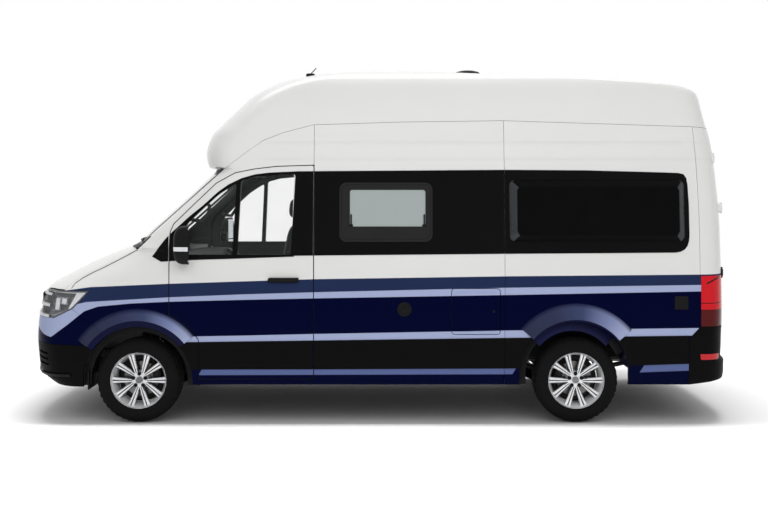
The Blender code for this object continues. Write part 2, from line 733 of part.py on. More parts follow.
def hinge_pillar(panel, side):
    """Post behind the fender that carries the cab door's hinges."""
    wheel = (FRONT_AXLE, AXLE_HEIGHT)
    foot = FLOOR_TOP + FIT
    outline = ([(DOOR_FRONT - 0.045, 1.400), (DOOR_FRONT + 0.060, 1.400), (DOOR_FRONT + 0.060, 0.800)]
               + arc(wheel, 0.480, 122.0, 152.0, 3) + [(wheel[0] - 0.440, foot), (wheel[0] - 0.560, foot)]
               + arc(wheel, 0.600, 152.0, 124.0, 3))
    outer = HALF_WIDTH - SIDE_WALL - 0.030
    pillar = prism("guide_pillar", outline, 'Y', *side_span(side, FRAME_INNER_Y, outer))
    head = box("guide_pillar_head", (DOOR_FRONT + SHUT + 0.004, side * FRAME_INNER_Y, 1.360),
               (DOOR_FRONT + 0.060, side * (HALF_WIDTH - SIDE_WALL - 0.010), 1.438))
    join(panel, pillar, head)
    for height in DOOR_HINGE_HEIGHTS:
        lower_hinge(panel, side, DOOR_HINGE_X, height, 0.100)
    return panel


def make_door_glass(name, side, colour):
    """A pane in the door's window, at the depth of the seal."""
    outline = grown(door_window_outline(), -FIT)
    pane = prism(name, outline, 'Y', *side_span(side, FRAME_INNER_Y), colour)
    return take(keep(pane, layer(PANE_DEPTH)), layer(PANE_DEPTH + GLASS))


def back_window_room(side, gap):
    """Window opening of one back door."""
    low = (TAIL - 0.2, side * (BACK_WINDOW_IN - gap), BACK_WINDOW_BOTTOM - gap)
    high = (TAIL + 0.33, side * (BACK_WINDOW_OUT + gap), BACK_WINDOW_TOP + gap)
    return low, high


def make_back_door(name, side, colour):
    door = box(name, (TAIL - 0.2, side * SHUT / 2, BACK_DOOR_BOTTOM),
               (TAIL + 0.33, side * BACK_DOOR_EDGE, BACK_DOOR_TOP), colour)
    keep(door, layer(0.0))
    take(door, layer(SIDE_WALL), box("guide_back_window", *back_window_room(side, 0.0)))
    rebate = box("guide_back_rebate", (TAIL - 0.2, side * -0.05, BACK_DOOR_BOTTOM - 0.1),
                 (TAIL + 0.4, side * (SHUT / 2 + 0.030), BACK_DOOR_TOP + 0.1))
    take(door, keep(rebate, layer(0.016)))
    for height in BACK_HINGE_HEIGHTS:
        low = height + HINGE_LENGTH + FIT
        x = back_hinge_x(height)
        leaf = box("guide_leaf", (x - 0.001, side * (BACK_DOOR_EDGE - 0.012), low + HINGE_STEP),
                   (x + BACK_HINGE_REACH, side * BACK_HINGE_Y, low + HINGE_LENGTH - HINGE_STEP))
        join(door, leaf, back_pin(side, low))
    return door


def back_hinge_x(height):
    """The back doors' hinge line leans forward towards the roof."""
    middle = skin_back_x(BACK_HINGE_Y, BACK_HINGE_LEVEL) - BACK_HINGE_PROUD
    return middle + BACK_HINGE_LEAN * (height - BACK_HINGE_LEVEL)


def back_pin(side, low):
    y = side * BACK_HINGE_Y
    high = low + HINGE_LENGTH
    return rod("guide_pin", (back_hinge_x(low), y, low), (back_hinge_x(high), y, high), HINGE_PIN, 12)


def back_hinges(panel, side):
    """Fixed halves of the back door's hinges, standing out of the corner post."""
    for height in BACK_HINGE_HEIGHTS:
        x = back_hinge_x(height)
        arm = box("guide_arm", (x, side * (BACK_HINGE_Y - HINGE_ARM), height + HINGE_STEP),
                  (x + BACK_HINGE_REACH, side * (BACK_DOOR_EDGE + SHUT + 0.012),
                   height + HINGE_LENGTH - HINGE_STEP))
        join(panel, arm, back_pin(side, height))
    return panel


def make_back_glass(name, side, colour):
    pane = box(name, *back_window_room(side, -FIT), colour)
    return take(keep(pane, layer(PANE_DEPTH)), layer(PANE_DEPTH + GLASS))


def make_tail_lamp(name, side, colour):
    low = (TAIL - 0.2, side * (BACK_DOOR_EDGE + SHUT), BACK_BUMPER_TOP)
    lamp = box(name, low, (TAIL + 0.325, side * (HALF_WIDTH + 0.2), 1.225), colour)
    return take(keep(lamp, layer(0.0)), layer(SIDE_WALL))


def make_back_bumper(colour):
    """Corner caps joined by a low step."""
    bumper = box("rear_bumper", (TAIL - 0.2, -WIDE, SILL_BOTTOM),
                 (BACK_BUMPER_FRONT, WIDE, BACK_BUMPER_TOP), colour)
    edge = BACK_DOOR_EDGE + SHUT
    doors = box("guide_step_room", (TAIL - 0.3, -edge, BACK_STEP_TOP), (TAIL + 0.5, edge, 1.0))
    return take(keep(bumper, layer(0.0)), layer(SIDE_WALL), doors)


def make_high_roof(colour):
    seam = roof_seam()
    outline = ([(NOSE, seam[0][1])] + seam + [(TAIL - 0.1, 3.2), (NOSE, 3.2)])
    roof = prism("high_roof", outline, 'Y', -WIDE, WIDE, colour)
    return take(keep(roof, layer(0.0)), layer(ROOF_WALL))


def make_roof_vent(colour):
    """Low dome that sits on the roof's curve."""
    x, y = ROOF_VENT_PLACE
    vent = rod("roof_vent", (x, y, ROOF_TOP - 0.05), (x, y, ROOF_TOP + ROOF_VENT_HEIGHT),
               ROOF_VENT_RADIUS, 24, colour, ROOF_VENT_RADIUS * 0.72)
    return take(vent, layer(-FIT))


def make_body_side(name, side, colour, door_gap, back_gap, openings):
    panel = prism(name, side_outline(), 'Y', *side_span(side, FRAME_INNER_Y), colour)
    keep(panel, layer(0.0))
    arch = arch_room(REAR_ARCH, REAR_AXLE, side, 0.5)
    take(panel, layer(SIDE_WALL), door_gap, back_gap, tail_lamp_room(side, FIT), arch)
    take(panel, pod_room(side), *openings)
    hinge_pillar(panel, side)
    return back_hinges(panel, side)


def make_hatch(colour):
    """Flap low on the left side, hung on its front edge."""
    hatch = prism("service_hatch", hatch_outline(), 'Y', *side_span(1, FRAME_INNER_Y), colour)
    take(keep(hatch, layer(0.0)), layer(HATCH_WALL))
    for height in HATCH_HINGE_HEIGHTS:
        upper_hinge(hatch, 1, HATCH_FRONT, HATCH_HINGE_X, height)
    return hatch


def make_mirror(name, side, colour):
    """Tall mirror housing on a short foot below the door's window."""
    x = MIRROR_X
    outline = [(x, MIRROR_IN), (x + 0.115, MIRROR_IN), (x + 0.147, MIRROR_IN + 0.035),
               (x + 0.135, MIRROR_OUT - 0.040), (x + 0.080, MIRROR_OUT), (x, MIRROR_OUT)]
    mirror = prism(name, [(px, side * py) for px, py in outline], 'Z', MIRROR_BOTTOM, MIRROR_TOP, colour)
    foot = box("guide_foot", (x + 0.030, side * (HALF_WIDTH - 0.080), MIRROR_BOTTOM + 0.005),
               (x + 0.100, side * (MIRROR_IN + 0.020), MIRROR_BOTTOM + 0.055))
    return take(join(mirror, foot), layer(-FIT))


def rail(name, y_in, y_out, side, x_from, x_to, low, high):
    return box(name, (x_from, side * y_in, low), (x_to, side * y_out, high))


def floor_outline():
    """Plan of the floor plate, with its two back corners cut off."""
    edge = HALF_WIDTH - FLOOR_EDGE
    back = [(TAIL + 0.340, edge), (TAIL + 0.150, edge - 0.200)]
    return [(FLOOR_FRONT, -edge), (FLOOR_FRONT, edge)] + back + [(x, -y) for x, y in reversed(back)]


def make_floor_pan(colour):
    """Floor plate with the wheel boxes and the seats' pedestals."""
    edge = HALF_WIDTH - FLOOR_EDGE
    pan = prism("floor_pan", floor_outline(), 'Z', FLOOR_UNDER, FLOOR_TOP, colour)
    middle = REAR_AXLE + REAR_ARCH[0]
    for side in (1, -1):
        outer = box("guide_box", (middle - WHEEL_BOX_HALF, side * (WHEEL_BOX_Y - PLATE), FLOOR_UNDER),
                    (middle + WHEEL_BOX_HALF, side * edge, WHEEL_BOX_TOP))
        inner = box("guide_box_room", (middle - WHEEL_BOX_HALF + PLATE, side * WHEEL_BOX_Y, 0.3),
                    (middle + WHEEL_BOX_HALF - PLATE, side * 1.5 * HALF_WIDTH, WHEEL_BOX_TOP - PLATE))
        take(join(pan, outer), inner)
        join(pan, rail("guide_pedestal", SEAT_Y - 0.170, SEAT_Y + 0.170, side, SEAT_X - 0.020,
                       SEAT_X + 0.400, FLOOR_TOP - 0.010, SEAT_BASE - FIT))
    return pan


def make_chassis_frame(colour):
    """Long rails under the floor, their cross members, and the front strut towers."""
    low = SPRING_TOP + FIT
    top = FLOOR_UNDER - FIT
    cross_end = HALF_WIDTH - FLOOR_EDGE - 0.020
    frame = box("chassis_frame", (NOSE - 0.170, -FRONT_RAIL_OUT - 0.020, FRONT_RAIL_LOW + 0.005),
                (NOSE - 0.125, FRONT_RAIL_OUT + 0.020, FRONT_RAIL_HIGH - 0.005), colour)
    for side in (1, -1):
        join(frame, rail("guide_front_rail", FRONT_RAIL_IN, FRONT_RAIL_OUT, side, FLOOR_FRONT + 0.002,
                         NOSE - 0.120, FRONT_RAIL_LOW, FRONT_RAIL_HIGH),
             rail("guide_rail_link", FRONT_RAIL_OUT - 0.030, BACK_RAIL_IN + 0.030, side,
                  FLOOR_FRONT + 0.005, FLOOR_FRONT + 0.060, FRONT_RAIL_LOW + 0.005, top - 0.005),
             rail("guide_back_rail", BACK_RAIL_IN, BACK_RAIL_OUT, side, TAIL + 0.220,
                  FLOOR_FRONT + 0.065, low, top),
             rail("guide_tower_leg", FRONT_RAIL_IN + 0.002, FRONT_RAIL_OUT - 0.040, side,
                  FRONT_AXLE - 0.060, FRONT_AXLE + 0.090, FRONT_RAIL_LOW + 0.030, TOWER_BOTTOM + PLATE),
             rail("guide_tower_top", FRONT_RAIL_IN, HALF_WIDTH - STRUT_TOP_INSET + 0.050, side,
                  FRONT_AXLE - 0.060, FRONT_AXLE + 0.090, TOWER_BOTTOM, TOWER_BOTTOM + 2 * PLATE))
        for start, end in outrigger_spans():
            join(frame, rail("guide_outrigger", FRAME_INNER_Y + 0.040, cross_end + 0.010, side, start,
                             end, LEVELS[0][0] + SIDE_WALL + FIT, top))
    for x in CROSS_MEMBERS:
        join(frame, box("guide_cross", (x, -cross_end, low + 0.004), (x + 0.060, cross_end, top - 0.004)))
    return frame


def outrigger_spans():
    """Start and end of the sill supports behind and in front of a rear wheel."""
    middle = REAR_AXLE + REAR_ARCH[0]
    return ((BACK_BUMPER_FRONT + 0.010, middle - WHEEL_BOX_HALF),
            (middle + WHEEL_BOX_HALF, FRONT_AXLE - 0.560))


def make_front_subframe(colour):
    """Cross member under the engine, with the lower arms out to the ball joints."""
    x = FRONT_AXLE
    frame = box("front_subframe", (x - 0.200, -FRONT_RAIL_OUT, 0.260),
                (x + 0.360, FRONT_RAIL_OUT, 0.350), colour)
    for side in (1, -1):
        tower = rail("guide_mount", FRONT_RAIL_IN, FRONT_RAIL_OUT, side, x - 0.180, x + 0.080,
                     0.340, FRONT_RAIL_LOW - FIT)
        ball_y = HALF_WIDTH - BALL_INSET
        arm_plan = [(x - 0.190, side * (FRONT_RAIL_IN + 0.02)), (x + 0.070, side * (FRONT_RAIL_IN + 0.02)),
                    (x + 0.026, side * (ball_y + 0.010)), (x - 0.026, side * (ball_y + 0.010))]
        root = rail("guide_arm_root", FRONT_RAIL_IN, FRONT_RAIL_OUT, side, x - 0.190, x + 0.070,
                    ARM_BOTTOM, 0.300)
        arm = prism("guide_lower_arm", arm_plan, 'Z', ARM_BOTTOM, ARM_BOTTOM + 0.030)
        low = swivel_point(side, ARM_BOTTOM + 0.010)
        ball = rod("guide_ball", low, swivel_point(side, BALL_HEIGHT), 0.018, 16)
        join(frame, tower, root, arm, ball)
    return frame


def swivel_point(side, height):
    """A point on a front wheel's steering axis."""
    slope = (STRUT_TOP_INSET - BALL_INSET) / (STRUT_TOP_HEIGHT - BALL_HEIGHT)
    inset = BALL_INSET + slope * (height - BALL_HEIGHT)
    return (FRONT_AXLE, side * (HALF_WIDTH - inset), height)


def make_knuckle(name, side, colour):
    """Steered carrier: lower boss, upright, stub axle and strut on one axis."""
    x = FRONT_AXLE
    low = swivel_point(side, BALL_HEIGHT + FIT)
    carrier = prism(name, [(side * (HALF_WIDTH - 0.305), 0.240), (side * (HALF_WIDTH - 0.225), 0.240),
                           (side * (HALF_WIDTH - 0.225), 0.430), (side * (HALF_WIDTH - 0.265), 0.500),
                           (side * (HALF_WIDTH - 0.345), 0.500)], 'X', x - 0.040, x + 0.040, colour)
    boss = rod("guide_boss", low, swivel_point(side, 0.270), 0.018, 16)
    strut = rod("guide_strut", swivel_point(side, 0.440), swivel_point(side, STRUT_TOP_HEIGHT), 0.027, 16)
    spring = rod("guide_spring", swivel_point(side, 0.715), swivel_point(side, 0.850), 0.056, 20)
    stub = rod("guide_stub", (x, side * (HALF_WIDTH - 0.260), AXLE_HEIGHT),
               (x, side * (WHEEL_Y + BRAKE_BACK - FIT), AXLE_HEIGHT), 0.036, 16)
    knuckle = join(carrier, boss, strut, spring, stub)
    return hang(knuckle, swivel_point(side, AXLE_HEIGHT))


def make_rear_axle(colour):
    """Beam axle with a stub at each end, on two leaf springs."""
    x = REAR_AXLE
    axle = box("rear_axle", (x - 0.045, -0.660, AXLE_HEIGHT - 0.075), (x + 0.045, 0.660, AXLE_HEIGHT), colour)
    for side in (1, -1):
        stub = rod("guide_stub", (x, side * 0.600, AXLE_HEIGHT),
                   (x, side * (WHEEL_Y + BRAKE_BACK - FIT), AXLE_HEIGHT), HUB_RADIUS, 20)
        top = SPRING_TOP
        leaf = [(x + 0.70, top), (x + 0.62, top), (x + 0.30, top - 0.058), (x, top - 0.078),
                (x - 0.30, top - 0.058), (x - 0.62, top), (x - 0.70, top), (x - 0.70, top - 0.020),
                (x - 0.62, top - 0.022), (x - 0.30, top - 0.088), (x, top - 0.115),
                (x + 0.30, top - 0.088), (x + 0.62, top - 0.022), (x + 0.70, top - 0.020)]
        spring = prism("guide_leaf_spring", leaf, 'Y', side * (BACK_RAIL_IN + 0.010),
                       side * (BACK_RAIL_OUT - 0.010))
        join(axle, stub, spring)
    return axle


def make_rim(name, centre, side, colour):
    """Alloy wheel with its brake disc: a barrel, a face with windows, and the hub."""
    outer = RIM_WIDTH / 2
    profile = [(side * -outer, RIM_RADIUS), (side * -outer, RIM_WELL), (side * outer, RIM_WELL + 0.006),
               (side * outer, RIM_RADIUS)]
    rim = turned(name, profile, centre, TYRE_SIDES, colour)

    def disc(guide, start, end, radius, sides):
        return rod(guide, (centre[0], centre[1] + side * start, centre[2]),
                   (centre[0], centre[1] + side * end, centre[2]), radius, sides)

    join(rim, disc("guide_face", RIM_FACE, RIM_FACE + 0.030, RIM_WELL + 0.015, TYRE_SIDES))
    take(rim, rim_windows(centre, side))
    return join(rim, disc("guide_hub", BRAKE_BACK, RIM_FACE + 0.010, HUB_RADIUS, 12),
                disc("guide_brake", BRAKE_BACK, BRAKE_BACK + 0.022, BRAKE_RADIUS, 20))


def rim_windows(centre, side):
    """The gaps between the spokes, as one guide."""
    bm = bmesh.new()
    for window in range(SPOKES):
        middle = 2 * math.pi * window / SPOKES + math.pi / 2
        corners = []
        for radius, way in ((0.070, -1), (0.186, -1), (0.186, 1), (0.070, 1)):
            spread = math.pi / SPOKES - math.asin(SPOKE_HALF / radius)
            angle = middle + way * spread
            corners.append((centre[0] + radius * math.cos(angle), centre[2] + radius * math.sin(angle)))
        depths = [centre[1] + side * y for y in (RIM_FACE - 0.02, RIM_FACE + 0.06)]
        ring_faces(bm, [[(x, y, z) for x, z in corners] for y in depths])
    return add_object("guide_rim_windows", bm)


def make_tyre(name, centre, colour):
    half = TYRE_WIDTH / 2
    bore = RIM_RADIUS + FIT
    r = TYRE_RADIUS
    wall = r - bore
    shape = [(half - 0.022, bore), (half, bore + 0.31 * wall), (half - 0.004, bore + 0.70 * wall),
             (half - 0.022, bore + 0.93 * wall), (half - 0.045, r)]
    profile = shape + [(-y, radius) for y, radius in reversed(shape)]
    return turned(name, profile, centre, TYRE_SIDES, colour)


def column_point(along):
    """A point on the steering column, measured from the wheel's centre towards the driver."""
    return (STEERING_WHEEL_X - along * math.cos(COLUMN_TILT), STEERING_WHEEL_Y,
            STEERING_WHEEL_Z + along * math.sin(COLUMN_TILT))


def make_steering_wheel(colour):
    centre = Vector(column_point(0.0))
    turn = Matrix.Rotation(COLUMN_TILT - math.pi / 2, 4, 'Y')
    rings = []
    for step in range(24):
        angle = 2 * math.pi * step / 24
        ring = []
        for tube_step in range(8):
            tube = 2 * math.pi * tube_step / 8
            reach = STEERING_WHEEL_RADIUS + 0.015 * math.cos(tube)
            point = Vector((reach * math.cos(angle), reach * math.sin(angle), 0.015 * math.sin(tube)))
            ring.append(centre + turn @ point)
        rings.append(ring)
    bm = bmesh.new()
    loops = ring_faces(bm, rings, close_ends=False)
    for i in range(8):
        j = (i + 1) % 8
        bm.faces.new((loops[-1][i], loops[-1][j], loops[0][j], loops[0][i]))
    wheel = add_object("steering_wheel", bm, colour)
    for angle in (0.0, math.pi, math.pi / 2):
        along = Matrix.Rotation(angle, 4, 'Z') @ Vector((0.0, STEERING_WHEEL_RADIUS - 0.004, 0.0))
        join(wheel, rod("guide_spoke", centre, centre + turn @ along, 0.010, 8))
    hub = rod("guide_wheel_hub", column_point(-0.060 + FIT), column_point(0.012), 0.045, 20)
    return hang(join(wheel, hub), centre)


def make_dashboard(colour):
    x = FRONT_AXLE
    outline = [(bulkhead_x(0.935) - FIT, 0.935), (bulkhead_x(1.350) - FIT, 1.350), (x - 0.300, 1.365),
               (x - 0.520, 1.330),
               (x - 0.610, 1.240), (x - 0.590, 1.100), (x - 0.480, 0.985), (x - 0.330, 0.935)]
    half = FRAME_INNER_Y - 0.010
    dash = prism("dashboard", outline, 'Y', -half, half, colour)
    shroud = rod("guide_shroud", column_point(-0.260), column_point(-0.060), 0.042, 16)
    return join(dash, shroud)


def make_seat(name, side, colour):
    """Cushion, back and headrest as one soft solid."""
    x = SEAT_X
    y = side * SEAT_Y
    z = SEAT_BASE
    outline = [(x, z), (x + 0.500, z), (x + 0.520, z + 0.120), (x + 0.450, z + 0.155),
               (x + 0.120, z + 0.110), (x + 0.060, z + 0.380), (x + 0.010, z + 0.790),
               (x - 0.110, z + 0.800), (x - 0.130, z + 0.700), (x - 0.060, z + 0.200)]
    seat = prism(name, outline, 'Y', y - 0.245, y + 0.245, colour)
    rest = [(x - 0.125, z + 0.780), (x + 0.012, z + 0.780), (x + 0.010, z + 0.980),
            (x - 0.050, z + 1.005), (x - 0.105, z + 0.940)]
    return join(seat, prism("guide_headrest", rest, 'Y', y - 0.135, y + 0.135))


def make_bed(colour):
    return box("bed_platform", (TAIL + 0.285, -BED_HALF, WHEEL_BOX_TOP + FIT),
               (REAR_AXLE + 0.560, BED_HALF, WHEEL_BOX_TOP + 0.250), colour)


def make_engine(colour):
    x = FRONT_AXLE
    return box("engine_block", (x + 0.100, -0.360, 0.350 + FIT), (x + 0.560, 0.360, 0.960), colour)


def make_fuel_tank(colour):
    return box("fuel_tank", (-0.750, -0.440, 0.270), (0.350, 0.180, FLOOR_UNDER - FIT), colour)


def make_exhaust(colour):
    y = 0.320
    z = FLOOR_UNDER - 0.072
    pipe = rod("exhaust", (FRONT_AXLE - 0.750, y, z), (TAIL + 0.300, y, z), 0.027, 12, colour)
    silencer = rod("guide_silencer", (-0.350, y, z), (-0.950, y, z), 0.062, 20)
    hanger = box("guide_hanger", (-0.700, y - 0.020, z), (-0.600, y + 0.020, FLOOR_UNDER - FIT))
    return join(pipe, silencer, hanger)


def hang(thing, point):
    """Put a piece's origin on its joint, without moving its shape."""
    point = Vector(point)
    thing.data.transform(Matrix.Translation(-point))
    thing.location = point
    return thing


def build_body(paints):
    door_gaps = {}
    for side in (1, -1):
        door_gaps[side] = prism("guide_door_room", grown(door_outline(), SHUT), 'Y', *side_span(side, 0.5))
    back_gap = back_door_room(SHUT)
    bonnet_gap = bonnet_room(SHUT)
    hatch_gap = prism("guide_hatch_room", grown(hatch_outline(), SHUT), 'Y', *side_span(1, 0.6))
    slide_gap = prism("guide_slide_room", grown(sliding_outline(), SHUT), 'Y', *side_span(-1, 0.6))
    white, black = paints["white"], paints["black"]
    left_openings = [window_room(1, WINDOW_FRONT, WINDOW_BACK), hatch_gap]
    left = make_body_side("body_side_left", 1, white, door_gaps[1], back_gap, left_openings)
    for height in HATCH_HINGE_HEIGHTS:
        lower_hinge(left, 1, HATCH_HINGE_X, height, 0.050)
        join(left, box("guide_hatch_post", (HATCH_HINGE_X - HINGE_ARM, HALF_WIDTH - 0.050, height),
                       (HATCH_FRONT + SHUT + 0.020, HALF_WIDTH - 0.030, height + HINGE_LENGTH)))
    make_body_side("body_side_right", -1, white, door_gaps[-1], back_gap, [slide_gap])
    make_high_roof(white)
    make_roof_vent(black)
    make_front_bumper(paints["navy"])
    make_grille(black)
    make_windscreen(paints["glass"])
    make_firewall(black, bonnet_gap)
    make_back_bumper(black)
    make_sliding_door(white)
    make_hatch(paints["navy"])
    make_side_window("side_window", 1, WINDOW_FRONT, WINDOW_BACK, paints["glass"])
    make_side_window("sliding_door_window", -1, SLIDE_WINDOW_FRONT, SLIDE_WINDOW_BACK, paints["glass"])
    for name, side in (("left", 1), ("right", -1)):
        make_fender(f"fender_{name}", side, paints["navy"], door_gaps[side], bonnet_gap)
        make_headlamp(f"headlamp_{name}", side, paints["lamp"])
        make_tail_lamp(f"tail_lamp_{name}", side, paints["red"])
        make_pod(f"bed_pod_{name}", side, black)


def build_openings(paints):
    """Bonnet, cab doors with their glass and mirrors, and the back doors."""
    white, black, glass = paints["white"], paints["black"], paints["glass"]
    hang(make_bonnet(white), (BONNET_HINGE_X, 0.0, BONNET_HINGE_Z))
    for name, side in (("left", 1), ("right", -1)):
        hinge = (DOOR_HINGE_X, side * SIDE_HINGE_Y, DOOR_HINGE_HEIGHTS[0])
        hang(make_cab_door(f"cab_door_{name}", side, white), hinge)
        hang(make_door_glass(f"cab_door_glass_{name}", side, glass), hinge)
        hang(make_mirror(f"mirror_{name}", side, black), hinge)
        back = (back_hinge_x(BACK_HINGE_LEVEL), side * BACK_HINGE_Y, BACK_HINGE_LEVEL)
        hang(make_back_door(f"rear_door_{name}", side, white), back)
        hang(make_back_glass(f"rear_door_glass_{name}", side, glass), back)


def build_running_gear(paints):
    metal = paints["metal"]
    make_front_subframe(metal)
    make_rear_axle(metal)
    for name, side in (("left", 1), ("right", -1)):
        make_knuckle(f"knuckle_{name}", side, metal)
        for end, x in (("front", FRONT_AXLE), ("rear", REAR_AXLE)):
            centre = (x, side * WHEEL_Y, AXLE_HEIGHT)
            hang(make_rim(f"rim_{end}_{name}", centre, side, paints["alloy"]), centre)
            hang(make_tyre(f"tyre_{end}_{name}", centre, paints["rubber"]), centre)


def build_inside(paints):
    metal = paints["metal"]
    make_floor_pan(metal)
    make_chassis_frame(metal)
    make_engine(metal)
    make_fuel_tank(paints["black"])
    make_exhaust(metal)
    make_dashboard(paints["black"])
    make_steering_wheel(paints["black"])
    make_bed(paints["cloth"])
    for name, side in (("left", 1), ("right", -1)):
        make_seat(f"seat_{name}", side, paints["cloth"])


clear_scene()
PAINTS = {
    "white": paint("white_paint", WHITE, 0.3),
    "navy": paint("navy_paint", NAVY, 0.3),
    "black": paint("black_plastic", BLACK, 0.6),
    "glass": paint("dark_glass", GLOSS_BLACK, 0.05),
    "lamp": paint("clear_lens", (0.6, 0.62, 0.65), 0.1),
    "red": paint("red_lens", (0.6, 0.01, 0.02), 0.15),
    "metal": paint("chassis_metal", DARK_METAL, 0.6, 0.6),
    "alloy": paint("alloy", (0.6, 0.61, 0.62), 0.3, 1.0),
    "rubber": paint("rubber", (0.02, 0.02, 0.02), 0.85),
    "cloth": paint("seat_cloth", CLOTH, 0.9),
}
build_body(PAINTS)
build_openings(PAINTS)
build_running_gear(PAINTS)
build_inside(PAINTS)
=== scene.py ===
import bpy
import bmesh
import math
from mathutils import Matrix, Vector


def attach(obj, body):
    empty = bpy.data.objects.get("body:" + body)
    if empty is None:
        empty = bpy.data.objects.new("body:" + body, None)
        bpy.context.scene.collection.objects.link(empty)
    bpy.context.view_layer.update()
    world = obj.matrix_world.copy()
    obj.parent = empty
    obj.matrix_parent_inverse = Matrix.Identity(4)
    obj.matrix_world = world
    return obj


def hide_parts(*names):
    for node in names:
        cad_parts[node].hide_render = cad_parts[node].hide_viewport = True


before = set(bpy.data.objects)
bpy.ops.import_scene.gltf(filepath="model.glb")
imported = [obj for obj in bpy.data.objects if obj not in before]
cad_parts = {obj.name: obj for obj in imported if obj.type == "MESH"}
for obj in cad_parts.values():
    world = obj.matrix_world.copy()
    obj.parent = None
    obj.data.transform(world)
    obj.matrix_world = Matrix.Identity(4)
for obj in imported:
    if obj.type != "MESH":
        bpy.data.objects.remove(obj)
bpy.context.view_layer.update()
pieces = {}
print("frame loaded, nodes:", len(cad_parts))


# Colours and node helpers

def tone(red, green, blue):
    parts = []
    for value in (red, green, blue):
        value = value / 255
        parts.append(value / 12.92 if value <= 0.04045 else ((value + 0.055) / 1.055) ** 2.4)
    return (*parts, 1.0)


def addNode(tree, kind, inputs=None, **settings):
    node = tree.nodes.new(kind)
    for key, value in settings.items():
        setattr(node, key, value)
    for key, value in (inputs or {}).items():
        if hasattr(value, "is_output"):
            tree.links.new(value, node.inputs[key])
        else:
            node.inputs[key].default_value = value
    return node


def math2(tree, operation, first, second=0.0):
    return addNode(tree, "ShaderNodeMath", {0: first, 1: second}, operation=operation).outputs[0]


def wave(tree, place, scale, direction, distortion=0.0):
    keys = {"Vector": place, "Scale": scale, "Distortion": distortion}
    return addNode(tree, "ShaderNodeTexWave", keys, bands_direction=direction).outputs[0]


def cells(tree, place, scale, **settings):
    return addNode(tree, "ShaderNodeTexVoronoi", {"Vector": place, "Scale": scale}, **settings).outputs[0]


def mixColour(tree, factor, first, second):
    return addNode(tree, "ShaderNodeMix", {0: factor, 6: first, 7: second}, data_type="RGBA").outputs[2]


def spread(tree, value, low, high, outLow=0.0, outHigh=1.0):
    keys = {"Value": value, "From Min": low, "From Max": high, "To Min": outLow, "To Max": outHigh}
    return addNode(tree, "ShaderNodeMapRange", keys, clamp=True).outputs[0]


def noise(tree, place, scale, detail):
    return addNode(tree, "ShaderNodeTexNoise", {"Vector": place, "Scale": scale, "Detail": detail}).outputs[0]


def bump(tree, height, strength, distance, under=None):
    keys = {"Height": height, "Strength": strength, "Distance": distance}
    if under is not None:
        keys["Normal"] = under
    return addNode(tree, "ShaderNodeBump", keys).outputs[0]


def newMaterial(name, **sockets):
    material = bpy.data.materials.new(name)
    material.use_nodes = True
    tree = material.node_tree
    shader = tree.nodes["Principled BSDF"]
    for key, value in sockets.items():
        shader.inputs[key].default_value = value
    place = addNode(tree, "ShaderNodeTexCoord").outputs["Object"]
    return material, tree, shader, place


def link(tree, socket, shader, key):
    tree.links.new(socket, shader.inputs[key])


# Mesh helpers

def meshObject(name, bm):
    mesh = bpy.data.meshes.new(name)
    bm.to_mesh(mesh)
    bm.free()
    thing = bpy.data.objects.new(name, mesh)
    bpy.context.scene.collection.objects.link(thing)
    return thing


def oblong(a0, a1, b0, b1):
    return [(a0, b0), (a0, b1), (a1, b1), (a1, b0)]


def prism(points, axis, low, high, fillet=0.0, steps=4):
    bm = bmesh.new()
    order = {"X": (2, 0, 1), "Y": (0, 2, 1), "Z": (0, 1, 2)}[axis]  # where the two measures and the depth go
    ring = [bm.verts.new([(*point, low)[number] for number in order]) for point in points]
    bm.faces.new(ring)
    if fillet:
        bmesh.ops.bevel(bm, geom=ring, offset=fillet, segments=steps, profile=0.5, affect='VERTICES',
                        material=-1)
    moved = bmesh.ops.extrude_face_region(bm, geom=bm.faces[:])["geom"]
    along = {"X": (1, 0, 0), "Y": (0, 1, 0), "Z": (0, 0, 1)}[axis]
    bmesh.ops.translate(bm, verts=[v for v in moved if isinstance(v, bmesh.types.BMVert)],
                        vec=Vector(along) * (high - low))
    bmesh.ops.recalc_face_normals(bm, faces=bm.faces)
    return bm


def block(low, high, soft=0.0):
    low, high = Vector(low), Vector(high)
    bm = bmesh.new()
    bmesh.ops.create_cube(bm, size=1.0)
    bmesh.ops.transform(bm, verts=bm.verts, matrix=Matrix.Translation((low + high) / 2) @ Matrix.Diagonal(
        (*[abs(b - a) for a, b in zip(low, high)], 1.0)))
    if soft:
        bmesh.ops.bevel(bm, geom=bm.edges[:], offset=soft, segments=2, profile=0.5, affect='EDGES',
                        material=-1)
    bmesh.ops.recalc_face_normals(bm, faces=bm.faces)
    return bm


def upright(place, height, radius, soft):
    bm = bmesh.new()
    bmesh.ops.create_cone(bm, cap_ends=True, segments=16, radius1=radius, radius2=radius, depth=height,
                          matrix=Matrix.Translation(place))
    rims = [edge for edge in bm.edges if abs(edge.verts[0].co.z - edge.verts[1].co.z) < 1e-6]
    bmesh.ops.bevel(bm, geom=rims, offset=soft, segments=2, profile=0.5, affect='EDGES', material=-1)
    return bm


# Rings of points joined into one closed skin
def lofted(rings, cap=True):
    bm = bmesh.new()
    rows = [[bm.verts.new(point) for point in ring] for ring in rings]
    loops = [[bm.edges.new(pair) for pair in zip(row, row[1:] + row[:1])] for row in rows]
    for first, second in zip(loops, loops[1:]):
        bmesh.ops.bridge_loops(bm, edges=first + second)
    if cap:
        bm.faces.new(rows[0])
        bm.faces.new(rows[-1])
    else:
        bmesh.ops.bridge_loops(bm, edges=loops[0] + loops[-1])
    bmesh.ops.recalc_face_normals(bm, faces=bm.faces)
    return bm


